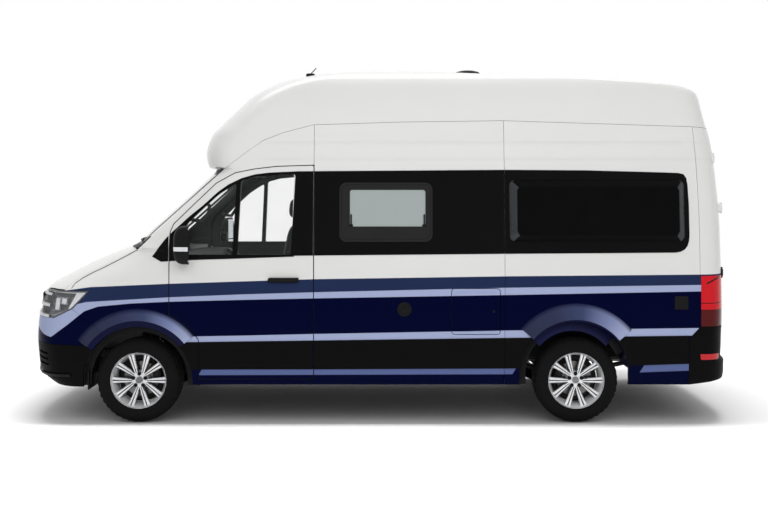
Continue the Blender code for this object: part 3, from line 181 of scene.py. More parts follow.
def turned(profile, centre, axis, steps):
    bm = bmesh.new()
    line = [bm.verts.new((radius, 0.0, along)) for along, radius in profile]
    edges = [bm.edges.new(pair) for pair in zip(line, line[1:])]
    bmesh.ops.spin(bm, geom=line + edges, cent=(0, 0, 0), axis=(0, 0, 1), angle=math.tau, steps=steps,
                   use_merge=True, use_duplicate=False)
    bmesh.ops.remove_doubles(bm, verts=bm.verts, dist=1e-5)
    turn = Vector(axis).to_track_quat('Z', 'Y').to_matrix().to_4x4()
    bmesh.ops.transform(bm, verts=bm.verts, matrix=Matrix.Translation(centre) @ turn)
    bmesh.ops.recalc_face_normals(bm, faces=bm.faces)
    return bm


def joined(*parts):
    whole = bmesh.new()
    for part in parts:
        mesh = bpy.data.meshes.new("part")
        part.to_mesh(mesh)
        part.free()
        whole.from_mesh(mesh)
        bpy.data.meshes.remove(mesh)
    return whole


def carve(thing, keep=(), take=()):
    cutters = []
    for operation, group in (("INTERSECT", keep), ("DIFFERENCE", take)):
        for bm in group:
            cutter = meshObject("cutter", bm)
            step = thing.modifiers.new("carve", 'BOOLEAN')
            step.solver = 'EXACT'
            step.operation = operation
            step.object = cutter
            cutters.append(cutter)
    graph = bpy.context.evaluated_depsgraph_get()
    mesh = bpy.data.meshes.new_from_object(thing.evaluated_get(graph))
    thing.modifiers.clear()
    old = thing.data
    thing.data = mesh
    bpy.data.meshes.remove(old)
    for cutter in cutters:
        shape = cutter.data
        bpy.data.objects.remove(cutter)
        bpy.data.meshes.remove(shape)
    return thing


def finish(thing, material, bodyName, stands=(), crease=32.0):
    mesh = thing.data
    materials = material if isinstance(material, (list, tuple)) else [material]
    if len(mesh.materials):
        mesh.materials.clear()
    for one in materials:
        mesh.materials.append(one)
    bm = bmesh.new()
    bm.from_mesh(mesh)
    limit = math.radians(crease)
    for face in bm.faces:
        face.smooth = True
    for edge in bm.edges:
        edge.smooth = len(edge.link_faces) == 2 and edge.calc_face_angle(0.0) < limit
    bm.to_mesh(mesh)
    bm.free()
    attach(thing, bodyName)
    if stands:
        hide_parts(*stands)
    pieces[thing.name] = (thing, bodyName, stands, crease)
    return thing


def piece(name, bm, material, bodyName="body_shell", stands=(), crease=32.0):
    return finish(meshObject(name, bm), material, bodyName, stands, crease)


# Every left piece that has no right twin yet gets one, on the right-hand body
def makeTwins():
    for name, (thing, bodyName, stands, crease) in list(pieces.items()):
        other = name.replace("_left", "_right")
        if other in pieces:
            continue
        bm = bmesh.new()
        bm.from_mesh(thing.data)
        bmesh.ops.scale(bm, verts=bm.verts, vec=(1, -1, 1))
        bmesh.ops.reverse_faces(bm, faces=bm.faces)
        finish(meshObject(other, bm), list(thing.data.materials), bodyName.replace("_left", "_right"),
               [node.replace("_left", "_right") for node in stands], crease)


# The outer skin, row by row: height, side inset, front setback, front curve, back setback, back curve
skin = {
    "half": 1.02, "nose": 2.993, "tail": -2.993, "frontPower": 2.5, "rearPower": 3.0,
    "rows": (
        (0.3, .06, .13, .42, .06, .3), (0.36, .032, .06, .42, .01, .32),
        (0.42, .024, .018, .42, .0, .34), (0.5, .018, .008, .41, .0, .34),
        (0.53, .016, .006, .41, .038, .3), (0.67, .009, .0, .4, .038, .28),
        (0.8, .003, .003, .42, .036, .28), (0.95, .0, .018, .48, .035, .28),
        (1.05, .001, .038, .56, .036, .28), (1.1, .002, .07, .62, .036, .28),
        (1.14, .002, .125, .68, .037, .28), (1.18, .003, .2, .74, .037, .28),
        (1.24, .004, .312, .8, .038, .28), (1.3, .006, .435, .84, .038, .28),
        (1.36, .008, .572, .8, .039, .28), (1.42, .01, .722, .66, .04, .28),
        (1.455, .012, .838, .4, .041, .28), (1.6, .02, .993, .35, .044, .28),
        (1.75, .03, 1.158, .34, .05, .28), (1.9, .042, 1.323, .33, .06, .28),
        (2.05, .057, 1.483, .32, .072, .28), (2.11, .063, 1.54, .32, .078, .28),
        (2.13, .065, 1.48, .33, .08, .28), (2.25, .079, 1.453, .34, .093, .28),
        (2.4, .099, 1.495, .35, .118, .28), (2.515, .115, 1.6, .37, .15, .28),
        (2.62, .128, 1.703, .4, .175, .28), (2.757, .155, 1.85, .44, .205, .3),
        (2.82, .178, 1.953, .46, .3, .34), (2.87, .215, 2.05, .48, .72, .42),
        (2.91, .265, 2.18, .5, 1.35, .5), (2.945, .345, 2.32, .5, 2.0, .5),
        (2.967, .47, 2.5, .5, 2.45, .5)),
    "frontColumns": 26, "sideColumns": 130, "backColumns": 16, "rowStep": 0.027,
}


def skinTilts():
    rows = skin["rows"]
    columns = []
    for number in range(1, 6):
        rises = [(b[number] - a[number]) / (b[0] - a[0]) for a, b in zip(rows, rows[1:])]
        tilts = [rises[0]]
        for low, high in zip(rises, rises[1:]):
            tilts.append(0.0 if low * high <= 0 else 2 * low * high / (low + high))
        columns.append(tilts + [rises[-1]])
    return columns


skin["tilts"] = skinTilts()
skinCache = {}


def skinRow(height):
    key = round(height, 5)
    if key in skinCache:
        return skinCache[key]
    rows = skin["rows"]
    spot = min(max(height, rows[0][0]), rows[-1][0])
    index = max(i for i in range(len(rows) - 1) if rows[i][0] <= spot or i == 0)
    low, high = rows[index], rows[index + 1]
    gap = high[0] - low[0]
    share = (spot - low[0]) / gap
    values = []
    for number, tilts in enumerate(skin["tilts"], start=1):
        a, b = low[number], high[number]
        ta, tb = tilts[index] * gap, tilts[index + 1] * gap
        values.append(a * (2 * share ** 3 - 3 * share ** 2 + 1) + ta * (share ** 3 - 2 * share ** 2 + share)
                      + b * (3 * share ** 2 - 2 * share ** 3) + tb * (share ** 3 - share ** 2))
    inset, front, frontCurve, back, backCurve = values
    result = (skin["half"] - inset, skin["nose"] - front, frontCurve, skin["tail"] + back, backCurve)
    skinCache[key] = result
    return result


def skinPoint(along, height):
    half, front, frontCurve, back, backCurve = skinRow(height)
    side = -1 if along < 0 else 1
    along = abs(along)
    if along <= 1:
        turn = along * math.pi / 2
        power = 2 / skin["frontPower"]
        x = front - frontCurve + frontCurve * max(math.cos(turn), 0.0) ** power
        y = half * math.sin(turn) ** power
    elif along <= 2:
        start, end = front - frontCurve, back + backCurve
        x = start + (end - start) * (along - 1)
        y = half
    else:
        turn = min((along - 2) * math.pi / 2, math.pi / 2)
        power = 2 / skin["rearPower"]
        x = back + backCurve - backCurve * math.sin(turn) ** power
        y = half * max(math.cos(turn), 0.0) ** power
    return x, side * y


def bulge(share, power):
    return (1 - share ** power) ** (1 / power)


def sideY(x, height):
    half, front, frontCurve, back, backCurve = skinRow(height)
    if x > front - frontCurve:
        share = min((x - front + frontCurve) / frontCurve, 1.0)
        return half * bulge(share, skin["frontPower"])
    if x < back + backCurve:
        share = min((back + backCurve - x) / backCurve, 1.0)
        return half * bulge(share, skin["rearPower"])
    return half


def relief(x, height):
    amount = 0.0
    for level, deep in ((2.335, 0.006), (2.195, 0.004)):
        share = min(max((height - level + 0.012) / 0.024, 0.0), 1.0)
        fade = min(max((1.15 - x) / 0.3, 0.0), 1.0)
        top = 1.0 if height < 2.4 else 0.0
        amount -= deep * fade * top * share * share * (3 - 2 * share) * max(0.0, 1 - (height - level) / 0.12)
    return amount


def skinSheet():
    heights = {round(row[0], 4) for row in skin["rows"]}
    heights |= {2.323, 2.335, 2.347, 2.183, 2.195, 2.207}
    level = skin["rows"][0][0]
    while level < 2.967:
        if all(abs(level - other) > 0.01 for other in heights):
            heights.add(round(level, 4))
        level += skin["rowStep"]
    rows = [(level, 1.0) for level in sorted(heights)] + [(2.967, share) for share in (0.75, 0.5, 0.25, 0.0)]
    half = [i / skin["frontColumns"] for i in range(skin["frontColumns"])]
    half += [1 + i / skin["sideColumns"] for i in range(skin["sideColumns"])]
    half += [2 + i / skin["backColumns"] for i in range(skin["backColumns"] + 1)]
    columns = [-value for value in reversed(half[1:])] + half
    bm = bmesh.new()
    bmesh.ops.create_grid(bm, x_segments=len(columns) - 1, y_segments=len(rows) - 1, size=1.0)
    for vert in bm.verts:
        along = columns[round((vert.co.x + 1) / 2 * (len(columns) - 1))]
        level, share = rows[round((vert.co.y + 1) / 2 * (len(rows) - 1))]
        x, y = skinPoint(along, level)
        out = relief(x, level) * min(max((abs(y) - 0.7) * 10, 0.0), 1.0)
        y += math.copysign(out, y) if y else 0.0
        vert.co = (x, y * share, level + 0.005 * (1 - share ** 2))
    bmesh.ops.remove_doubles(bm, verts=bm.verts, dist=1e-5)
    bmesh.ops.dissolve_degenerate(bm, dist=1e-5, edges=bm.edges)
    bmesh.ops.recalc_face_normals(bm, faces=bm.faces)
    top = max(bm.faces, key=lambda face: face.calc_center_median().z)
    if top.normal.z < 0:
        bmesh.ops.reverse_faces(bm, faces=bm.faces)
    return bm


fullSkin = skinSheet()
print("skin faces:", len(fullSkin.faces))


def skinPatch(low, high, wall, lift=0.0):
    bm = fullSkin.copy()
    away = []
    for face in bm.faces:
        points = [vert.co for vert in face.verts]
        if any(max(p[i] for p in points) < low[i] or min(p[i] for p in points) > high[i] for i in range(3)):
            away.append(face)
    bmesh.ops.delete(bm, geom=away, context='FACES')
    bm.normal_update()
    normals = [(vert, vert.normal.copy()) for vert in bm.verts]
    for vert, normal in normals:
        vert.co += normal * lift
    bmesh.ops.solidify(bm, geom=bm.faces[:], thickness=wall)
    bmesh.ops.recalc_face_normals(bm, faces=bm.faces)
    return bm


# Finishes

paintLines = {
    "white": ((-3.0, 1.241), (-2.657, 1.237), (-1.086, 1.223), (0.533, 1.199), (1.145, 1.18), (1.738, 1.161),
              (2.381, 1.133), (2.6, 1.1), (3.0, 1.08)),
    # This line and the next bound a painted highlight on the upward-facing crease under the white line; above
    # it lies the painted sky reflection.
    "upperGlintTop": ((-3.0, 1.154), (-2.648, 1.151), (-1.045, 1.128), (0.533, 1.091), (1.145, 1.073),
                  (1.739, 1.049), (2.417, 1.01), (2.52, 0.985), (2.7, 0.9), (3.0, 0.88)),
    "upperGlintLow": ((-3.0, 1.102), (-2.647, 1.098), (-1.045, 1.068), (0.533, 1.041), (1.145, 1.028),
                  (1.739, 1.013), (2.053, 0.998), (2.317, 0.973), (2.43, 0.935), (2.575, 0.819), (2.715, 0.717),
                  (2.79, 0.735), (2.9, 0.79), (3.0, 0.8)),
    # This line and the third below it bound a painted highlight on the ledge above the cladding.
    "lowGlintTop": ((-3.0, 0.8), (-1.086, 0.775), (0.534, 0.746), (1.145, 0.732), (1.7, 0.722), (3.0, 0.7)),
    # This line and the next bound a painted reflection along the sill.
    "sillGlintTop": ((-3.0, 0.5), (-2.56, 0.497), (-2.15, 0.484), (-1.09, 0.459), (1.48, 0.449), (3.0, 0.449)),
    "sillGlintLow": ((-3.0, 0.448), (-2.56, 0.44), (-2.15, 0.425), (-1.09, 0.41), (1.48, 0.402), (3.0, 0.402)),
    "lowGlintLow": ((-3.0, 0.738), (-1.087, 0.714), (0.534, 0.692), (1.146, 0.684), (1.7, 0.676), (3.0, 0.65)),
    # Of the colours below, the mid-navy band is a painted sky reflection and the pale blue a painted highlight;
    # white and navy are the paint's own two tones.
    "whiteColour": tone(229, 229, 227), "navyColour": tone(0, 2, 36), "skyReflectionColour": tone(32, 44, 77),
    "glintColour": tone(158, 168, 204),
}


def lineHeight(tree, x01, name):
    node = addNode(tree, "ShaderNodeFloatCurve", {"Value": x01})
    curve = node.mapping.curves[0]
    spots = [((x + 3) / 6, height / 3) for x, height in paintLines[name]]
    curve.points[0].location = spots[0]
    curve.points[1].location = spots[-1]
    for spot in spots[1:-1]:
        curve.points.new(*spot)
    for point in curve.points:
        point.handle_type = 'VECTOR'
    node.mapping.update()
    return math2(tree, "MULTIPLY", node.outputs[0], 3.0)


def above(tree, height, line):
    soft = 0.0015
    return spread(tree, math2(tree, "SUBTRACT", height, line), -soft, soft)


def between(tree, height, low, high):
    return math2(tree, "MULTIPLY", above(tree, height, low), above(tree, high, height))


def makeBodyPaint():
    material, tree, shader, place = newMaterial("bodyPaint", Roughness=0.32, **{"Coat Roughness": 0.05})
    axes = addNode(tree, "ShaderNodeSeparateXYZ", {0: place}).outputs
    x01 = spread(tree, axes[0], -3.0, 3.0)
    line = {name: lineHeight(tree, x01, name) for name in paintLines if len(paintLines[name]) > 4}
    height = axes[2]
    flake = noise(tree, place, 900.0, 1.0)
    cloud = noise(tree, place, 2.3, 2.0)
    navy = mixColour(tree, spread(tree, flake, 0.42, 0.68), paintLines["navyColour"], tone(0, 6, 47))
    # painted sky reflection colour for the band under the white line
    band = mixColour(tree, cloud, paintLines["skyReflectionColour"], tone(38, 50, 84))
    # painted highlight colour, for the upper crease and for the ledge above the cladding
    light = mixColour(tree, flake, paintLines["glintColour"], tone(172, 182, 214))
    white = mixColour(tree, cloud, paintLines["whiteColour"], tone(224, 224, 223))
    # painted sky reflection: the band just under the white line is a lighter navy
    colour = mixColour(tree, between(tree, height, line["upperGlintTop"], line["white"]), navy, band)
    # painted highlight along the upward-facing crease
    colour = mixColour(tree, between(tree, height, line["upperGlintLow"], line["upperGlintTop"]), colour, light)
    # painted highlight on the ledge above the cladding, stopping at the front wheel
    lower = between(tree, height, line["lowGlintLow"], line["lowGlintTop"])
    lowGlintFront = math2(tree, "SUBTRACT", 1.0, above(tree, axes[0], 1.75))
    colour = mixColour(tree, math2(tree, "MULTIPLY", lower, lowGlintFront), colour, light)
    # painted reflection: a pale blue strip along the sill, with slanted ends, between the wheels and behind the
    # rear wheel
    slant = math2(tree, "MULTIPLY", math2(tree, "SUBTRACT", height, 0.43), 0.6)
    sillGlintPlace = math2(tree, "ADD", axes[0], slant)
    sill = between(tree, height, line["sillGlintLow"], line["sillGlintTop"])
    ends = math2(tree, "ADD", between(tree, sillGlintPlace, -1.12, 1.475),
                 between(tree, sillGlintPlace, -2.565, -2.165))
    sillGlintColour = mixColour(tree, flake, tone(84, 98, 146), tone(100, 112, 158))
    colour = mixColour(tree, math2(tree, "MULTIPLY", sill, ends), colour, sillGlintColour)
    isWhite = above(tree, height, line["white"])
    colour = mixColour(tree, isWhite, colour, white)
    link(tree, colour, shader, "Base Color")
    link(tree, spread(tree, isWhite, 0.0, 1.0, 0.02, 0.6), shader, "Coat Weight")
    link(tree, spread(tree, isWhite, 0.0, 1.0, 0.02, 0.4), shader, "Specular IOR Level")
    peel = noise(tree, place, 160.0, 2.0)
    link(tree, bump(tree, peel, 0.02, 0.002), shader, "Normal")
    return material


def shaded(colour, share):
    return (*[value * share for value in colour[:3]], 1.0)


# Two tones in soft clouds over a fine grain: cells, bands, the clouds themselves, or noise of so much detail
def makeFinish(name, dark, light, mottle, mix, rough, grain, **sockets):
    material, tree, shader, place = newMaterial(name, **sockets)
    cloud = noise(tree, place, *mottle)
    link(tree, mixColour(tree, spread(tree, cloud, *mix) if mix else cloud, dark, light), shader,
         "Base Color")
    if rough:
        link(tree, spread(tree, cloud, 0.3, 0.7, *rough), shader, "Roughness")
    kind, scale, strength, distance = grain
    if kind == "cells":
        height = cells(tree, place, scale)
    elif kind == "bands":
        height = wave(tree, place, scale, "Z")
    else:
        height = cloud if kind == "cloud" else noise(tree, place, scale, kind)
    link(tree, bump(tree, height, strength, distance), shader, "Normal")
    return material


def makePlastic(name, colour, grain, rough, size=420.0, shine=0.4):
    return makeFinish(name, shaded(colour, 0.7), colour, (6.0, 4.0), (0.35, 0.7),
                      (rough - 0.06, rough + 0.06), ("cells", size, grain, 0.001),
                      **{"Specular IOR Level": shine})


def makeMetal(name, colour, rough, flakes=0.0, metallic=1.0):
    return makeFinish(name, shaded(colour, 0.82), colour, (9.0, 4.0), (0.3, 0.7),
                      (rough - 0.05, rough + 0.07), (2.0, 700.0, 0.03 + flakes, 0.0006), Metallic=metallic)


def makeGlass(name, colour, alphaLow, alphaHigh):
    material, tree, shader, place = newMaterial(name, Roughness=0.02,
                                                **{"IOR": 1.45, "Specular IOR Level": 0.4})
    cloud = noise(tree, place, 3.0, 2.0)
    link(tree, mixColour(tree, cloud, colour, shaded(colour, 0.9)), shader, "Base Color")
    link(tree, spread(tree, cloud, 0.3, 0.7, alphaLow, alphaHigh), shader, "Alpha")
    return material


bodyPaint = makeBodyPaint()
cladding = makePlastic("claddingPlastic", tone(9, 9, 10), 0.25, 0.55, 420.0, 0.05)
trimBlack = makePlastic("trimBlack", tone(13, 13, 14), 0.15, 0.45, 420.0, 0.14)
cabinGrey = makePlastic("cabinPlastic", tone(42, 43, 45), 0.3, 0.62, 300.0)
cabinDark = makePlastic("cabinDark", tone(25, 26, 28), 0.3, 0.66, 300.0)
linerBlack = makePlastic("linerFelt", tone(14, 14, 15), 0.6, 0.9, 180.0)
furniture = makePlastic("furnitureBoard", tone(168, 166, 160), 0.05, 0.5, 60.0)
glossBlack = makeFinish("glossBlack", tone(7, 7, 8), tone(13, 13, 14), (1.6, 2.0), None, None,
                        (1.0, 5.0, 0.02, 0.01), Roughness=0.06, **{"Specular IOR Level": 0.05})
clearGlass = makeGlass("clearGlass", tone(140, 150, 146), 0.03, 0.045)
screenGlass = makeGlass("screenGlass", tone(40, 50, 48), 0.09, 0.12)
tintedGlass = makeGlass("tintedGlass", tone(12, 13, 14), 0.88, 0.93)
paleGlass = makeGlass("paleGlass", tone(170, 180, 178), 0.94, 0.97)
bareSteel = makeMetal("bareSteel", tone(150, 151, 152), 0.34)
chassisCoat = makeMetal("chassisCoat", tone(60, 60, 62), 0.5, 0.1)
chrome = makeMetal("brightTrim", tone(226, 228, 230), 0.12)
silverAlloy = makeMetal("silverAlloy", tone(214, 215, 217), 0.3)
print("finishes made:", len(bpy.data.materials))

# Body panels cut from the skin

outlines = {
    "door": [(1.485, 0.7), (1.535, 0.764), (1.593, 0.82), (1.658, 0.869), (1.728, 0.909), (1.728, 1.45),
             (1.722, 1.585), (1.695, 1.654), (1.51, 1.834), (1.351, 1.988), (1.19, 2.075), (1.027, 2.107),
             (0.85, 2.128), (0.541, 2.138), (0.541, 0.372), (1.485, 0.372)],
    "roofSeam": [(1.278, 2.118), (1.078, 2.27), (0.968, 2.347), (0.8, 2.416), (0.544, 2.482), (-0.18, 2.505),
                 (-1.04, 2.517), (-2.62, 2.466), (-3.093, 2.433)],
    "lamp": [(2.39, 1.1), (2.53, 0.951), (2.69, 0.874), (3.093, 0.874), (3.093, 1.062), (2.75, 1.095)],
    "bumper": [(2.417, 0.29), (3.093, 0.29), (3.093, 0.874), (2.69, 0.874), (2.53, 0.951), (2.27, 0.736),
               (2.327, 0.6)],
    "bonnetPlan": [(2.055, -0.81), (2.118, -0.608), (2.164, -0.405), (2.191, -0.203), (2.2, 0.0),
                   (2.191, 0.203), (2.164, 0.405), (2.118, 0.608), (2.055, 0.81), (2.28, 0.81), (2.527, 0.83),
                   (2.617, 0.93), (2.657, 0.99), (3.093, 0.99), (3.093, -0.99), (2.657, -0.99),
                   (2.617, -0.93), (2.527, -0.83), (2.28, -0.81)],
    "bonnetSide": [(1.997, 1.11), (2.75, 1.105), (3.093, 1.072), (3.093, 1.6), (1.997, 1.6)],
    "hatch": oblong(-0.606, -1.003, 0.745, 1.118),
    "sliding": oblong(0.451, -0.799, 0.372, 2.12),
}


def grown(points, amount):
    area = sum(a[0] * b[1] - b[0] * a[1] for a, b in zip(points, points[1:] + points[:1]))
    turn = 1 if area > 0 else -1
    result = []
    for before, here, after in zip(points[-1:] + points[:-1], points, points[1:] + points[:1]):
        first = (Vector(here) - Vector(before)).normalized()
        second = (Vector(after) - Vector(here)).normalized()
        outs = [Vector((way.y, -way.x)) * turn for way in (first, second)]
        both = outs[0] + outs[1]
        scale = amount / max(0.25, both.length_squared / 2)
        result.append(tuple(Vector(here) + both * scale))
    return result


def arch(centre, radius, low, high):
    spots = [(centre[0] + radius * math.cos(a * math.pi / 24),
              centre[1] + radius * math.sin(a * math.pi / 24)) for a in range(25)]
    return prism(spots + [(centre[0] - radius, 0.0), (centre[0] + radius, 0.0)], "Y", low, high)


shutGap = 0.003
rearWindow = oblong(0.11, 0.72, 1.42, 2.06)
sideSeam = oblong(-1.0435, -1.0465, 0.2, 2.6)
wheels = {"frontX": 1.997, "rearX": -1.643, "y": 0.8625, "z": 0.35, "frontArch": (1.995, 0.355),
          "rearArch": (-1.62, 0.405), "archRadius": 0.455}


def sides(near, far):
    for side, way in (("left", 1), ("right", -1)):
        yield side, way, *sorted((near * way, far * way))


# A cutter is a finished shape, or an outline seen from the side, with its fillet if it has one
def cutter(shape, low, high):
    if isinstance(shape, bmesh.types.BMesh):
        return shape
    points, *fillet = shape if isinstance(shape, tuple) else (shape,)
    return prism(points, "Y", low, high, *fillet)


def panel(name, low, high, wall, keep, take, material, bodyName="body_shell", stands=(), lift=0.0):
    thing = meshObject(name, skinPatch(low, high, wall, lift))
    carve(thing, [cutter(shape, low[1], high[1]) for shape in keep],
          [cutter(shape, low[1] - 0.1, high[1] + 0.1) for shape in take])
    return finish(thing, material, bodyName, stands)


def makeRoof():
    outline = [(1.7, 2.118)] + outlines["roofSeam"] + [(-3.1, 3.2), (1.7, 3.2)]
    panel("roofShell", (-3.1, -1.2, 2.09), (1.6, 1.2, 3.1), 0.02, [outline], [], bodyPaint,
          stands=("high_roof",))


def makeBodySides():
    seam = outlines["roofSeam"]
    side = [(1.492, 0.32), (1.492, 1.38), (1.737, 1.38), (1.89, 1.383), (2.032, 1.431), (1.295, 2.114)]
    side += [(x, z - shutGap) for x, z in seam] + [(-3.093, 0.806), (-2.567, 0.806), (-2.567, 0.32)]
    rearSeam = [(-2.615, 2.6), (-2.6415, 2.114), (-2.6535, 1.699), (-2.6555, 1.225)]
    rearSeam += [(x - shutGap, z) for x, z in reversed(rearSeam)]
    for name, way, low, high in sides(0.55, 1.2):
        cuts = [grown(outlines["door"], 0.008), block((-3.2, -0.835, 0.55), (-2.4, 0.835, 2.433)),
                block((-3.2, way * 0.831, 0.5), (-2.664, way * 1.3, 1.2285)),
                arch(wheels["rearArch"], wheels["archRadius"], low, high), sideSeam,
                oblong(0.5385, 0.5355, 2.13, 2.6), rearSeam]
        if way == 1:
            cuts += [(oblong(0.255, -0.377, 1.578, 1.927), 0.05), (grown(outlines["hatch"], 0.006), 0.03)]
        else:
            cuts += [(grown(outlines["sliding"], 0.006), 0.02)]
        made = panel(f"bodySide_{name}", (-3.0, low, 0.29), (2.1, high, 2.56), 0.035, [side], cuts,
                     [bodyPaint, cabinDark], stands=(f"body_side_{name}",))
        for face in made.data.polygons:  # the walls inside the cab are dark
            x, y, z = face.center
            face.material_index = int(0.4 < x and abs(y) < sideY(x, z) - 0.03)


doorWindow = [(1.64, 1.4), (1.655, 1.545), (1.595, 1.655), (1.455, 1.785), (1.33, 1.9), (1.24, 1.965),
              (1.135, 2.015), (1.02, 2.047), (0.84, 2.065), (0.7, 2.07), (0.722, 1.4)]


def makeCabDoors():
    door = panel("cabDoor_left", (0.4, 0.6, 0.3), (1.9, 1.2, 2.2), 0.04, [(outlines["door"], 0.012, 3)],
                 [(doorWindow, 0.02)], [bodyPaint, trimBlack], "cab_door_left", ("cab_door_left",))
    for face in door.data.polygons:  # the window's reveal is black
        x, y, z = face.center
        face.material_index = int(1.36 < z and y < sideY(x, z) - 0.0025)


def makeFront():
    fenderSide = [(1.492, 0.32), (1.997, 0.32), (1.997, 0.5), (2.27, 0.738), (2.53, 0.954), (2.797, 0.951),
                  (2.797, 1.2), (2.297, 1.4365), (2.05, 1.4365), (1.89, 1.3827), (1.737, 1.38), (1.492, 1.38)]
    panel("fender_left", (1.4, 0.3, 0.28), (2.9, 1.2, 1.47), 0.012, [fenderSide],
          [grown(outlines["door"], 0.008), prism(grown(outlines["bonnetPlan"], 0.006), "Z", 1.085, 1.7),
           grown(outlines["lamp"], 0.002), arch(wheels["frontArch"], wheels["archRadius"], 0.3, 1.3)],
          bodyPaint, stands=("fender_left",))
    panel("bonnetSkin", (1.9, -1.1, 1.05), (3.1, 1.1, 1.55), 0.012,
          [prism(outlines["bonnetPlan"], "Z", 1.0, 1.7), outlines["bonnetSide"]], [], bodyPaint, "bonnet",
          ("bonnet",))
    room = ((2.2, -1.1, 0.28), (3.1, 1.1, 1.0))
    split = [(2.2, 0.65), (2.491, 0.652), (2.915, 0.672), (3.2, 0.678)]
    upper = [(2.2, 1.0)] + split + [(3.2, 1.0)]
    lower = [(2.2, 0.2)] + [(x, z - shutGap) for x, z in split] + [(3.2, 0.2)]

    def openings():
        arches = [arch(wheels["frontArch"], wheels["archRadius"], low, high) for _, _, low,
                  high in sides(0.45, 1.3)]
        return arches + [block((2.4, -0.5, 0.82), (3.2, 0.5, 1.2)),
                         block((2.965, -0.27, 0.6), (3.1, 0.27, 0.73))]

    panel("bumperUpper", *room, 0.02, [outlines["bumper"], upper], openings(), bodyPaint,
          stands=("front_bumper",))
    slots = [block((2.5, -0.56, 0.45), (3.1, 0.56, 0.59), 0.02)]
    for number in range(3):
        z = 0.598 - 0.046 * number
        line = [(2.93 - 0.02 * number, z), (2.745, z - 0.01), (2.745, z - 0.03),
                (2.92 - 0.02 * number, z - 0.02)]
        slots += [prism(line, "Y", low, high) for _, _, low, high in sides(0.5, 1.2)]
    panel("bumperLower", *room, 0.02, [outlines["bumper"], lower], openings() + slots, cladding)


def makeRearDoors():
    panel("rearDoor_left", (-3.1, -0.05, 0.55), (-2.5, 0.9, 2.5), 0.035,
          [block((-3.2, 0.004, 0.602), (-2.663, 0.831, 2.425))], [prism(rearWindow, "X", -3.2, -2.6, 0.06)],
          bodyPaint, "rear_door_left", ("rear_door_left",))


def makeRearBumper():
    room = block((-3.3, -0.839, 0.594), (-2.4, 0.839, 1.2))
    panel("rearBumper", (-3.1, -1.2, 0.29), (-2.5, 1.2, 0.85), 0.03,
          [block((-3.2, -1.2, 0.32), (-2.57, 1.2, 0.806))],
          [room, [(-2.56, 0.3), (-2.567, 0.318), (-3.1, 0.392), (-3.1, 0.3)],
           [(-2.56, 0.7), (-2.56, 0.82), (-2.672, 0.82)]], cladding, stands=("rear_bumper",))


def makeHatchAndSlider():
    panel("hatchFlap", (-1.1, 0.8, 0.7), (-0.5, 1.1, 1.15), 0.02, [(outlines["hatch"], 0.024)], [], bodyPaint,
          "service_hatch", ("service_hatch",))
    panel("slidingDoorSkin", (-0.9, -1.2, 0.3), (0.6, -0.6, 2.2), 0.035, [(outlines["sliding"], 0.016)],
          [(oblong(0.181, -0.489, 1.578, 1.927), 0.05)], bodyPaint, stands=("sliding_door",))


def makeWindscreen():
    room = ((1.2, -1.1, 1.42), (2.3, 1.1, 2.15))
    side = [(2.035, 1.4575), (2.9, 1.4575), (2.9, 2.112), (1.3, 2.112)]
    panel("windscreenGlass", *room, 0.006, [[(x - 0.006, z) for x, z in side]], [], screenGlass,
          stands=("windscreen",))
    inside = [(2.004, 1.505), (2.9, 1.505), (2.9, 2.07), (1.37, 2.07)]
    # dark frit round the windscreen's edge, partly real frit and partly painted reflection: it stands in for
    # the dark edge the glass shows at a grazing view
    panel("screenFrit", *room, 0.002, [side], [inside], screenFrit, lift=-0.008)


# dark frit finish, partly a painted reflection along the windscreen's edge
screenFrit = makePlastic("screenFrit", tone(20, 21, 22), 0.1, 0.4, 300.0, 0.2)


def makeLowGlintEnds():
    # a small body-paint corner at the rear that carries the painted highlight above the cladding on to the rear
    # corner
    corner = [(-2.5665, 0.708), (-2.5665, 0.8055), (-2.657, 0.8055)]
    panel("stripeEnd_left", (-2.8, 0.7, 0.68), (-2.5, 1.3, 0.84), 0.012, [corner], [], bodyPaint)


makeRoof()
makeLowGlintEnds()
makeBodySides()
makeCabDoors()
makeFront()
makeRearDoors()
makeRearBumper()
makeHatchAndSlider()
makeWindscreen()
print("body panels made:", len(pieces))

# Side details that follow the skin

def roundRect(x0, x1, z0, z1, radius, steps=5):
    x0, x1 = sorted((x0, x1))
    z0, z1 = sorted((z0, z1))
    points = []
    for cx, cz, start in ((x1 - radius, z1 - radius, 0), (x0 + radius, z1 - radius, 90),
                          (x0 + radius, z0 + radius, 180), (x1 - radius, z0 + radius, 270)):
        for i in range(steps + 1):
            angle = math.radians(start + 90 * i / steps)
            points.append((cx + radius * math.cos(angle), cz + radius * math.sin(angle)))
    return points


def circle(x, z, radius, steps=32):
    return [(x + radius * math.cos(i * math.tau / steps), z + radius * math.sin(i * math.tau / steps))
            for i in range(steps)]


# A ring is a circle's x, z and radius, or a rectangle's x0, x1, z0, z1 and corner, then its lift off the skin
def stack(rings, way=1, cap=True):
    made = []
    for *shape, lift in rings:
        points = circle(*shape) if len(shape) in (3, 4) else roundRect(*shape)
        made.append([(x, way * (sideY(x, z) + lift), z) for x, z in points])
    return lofted(made, cap)


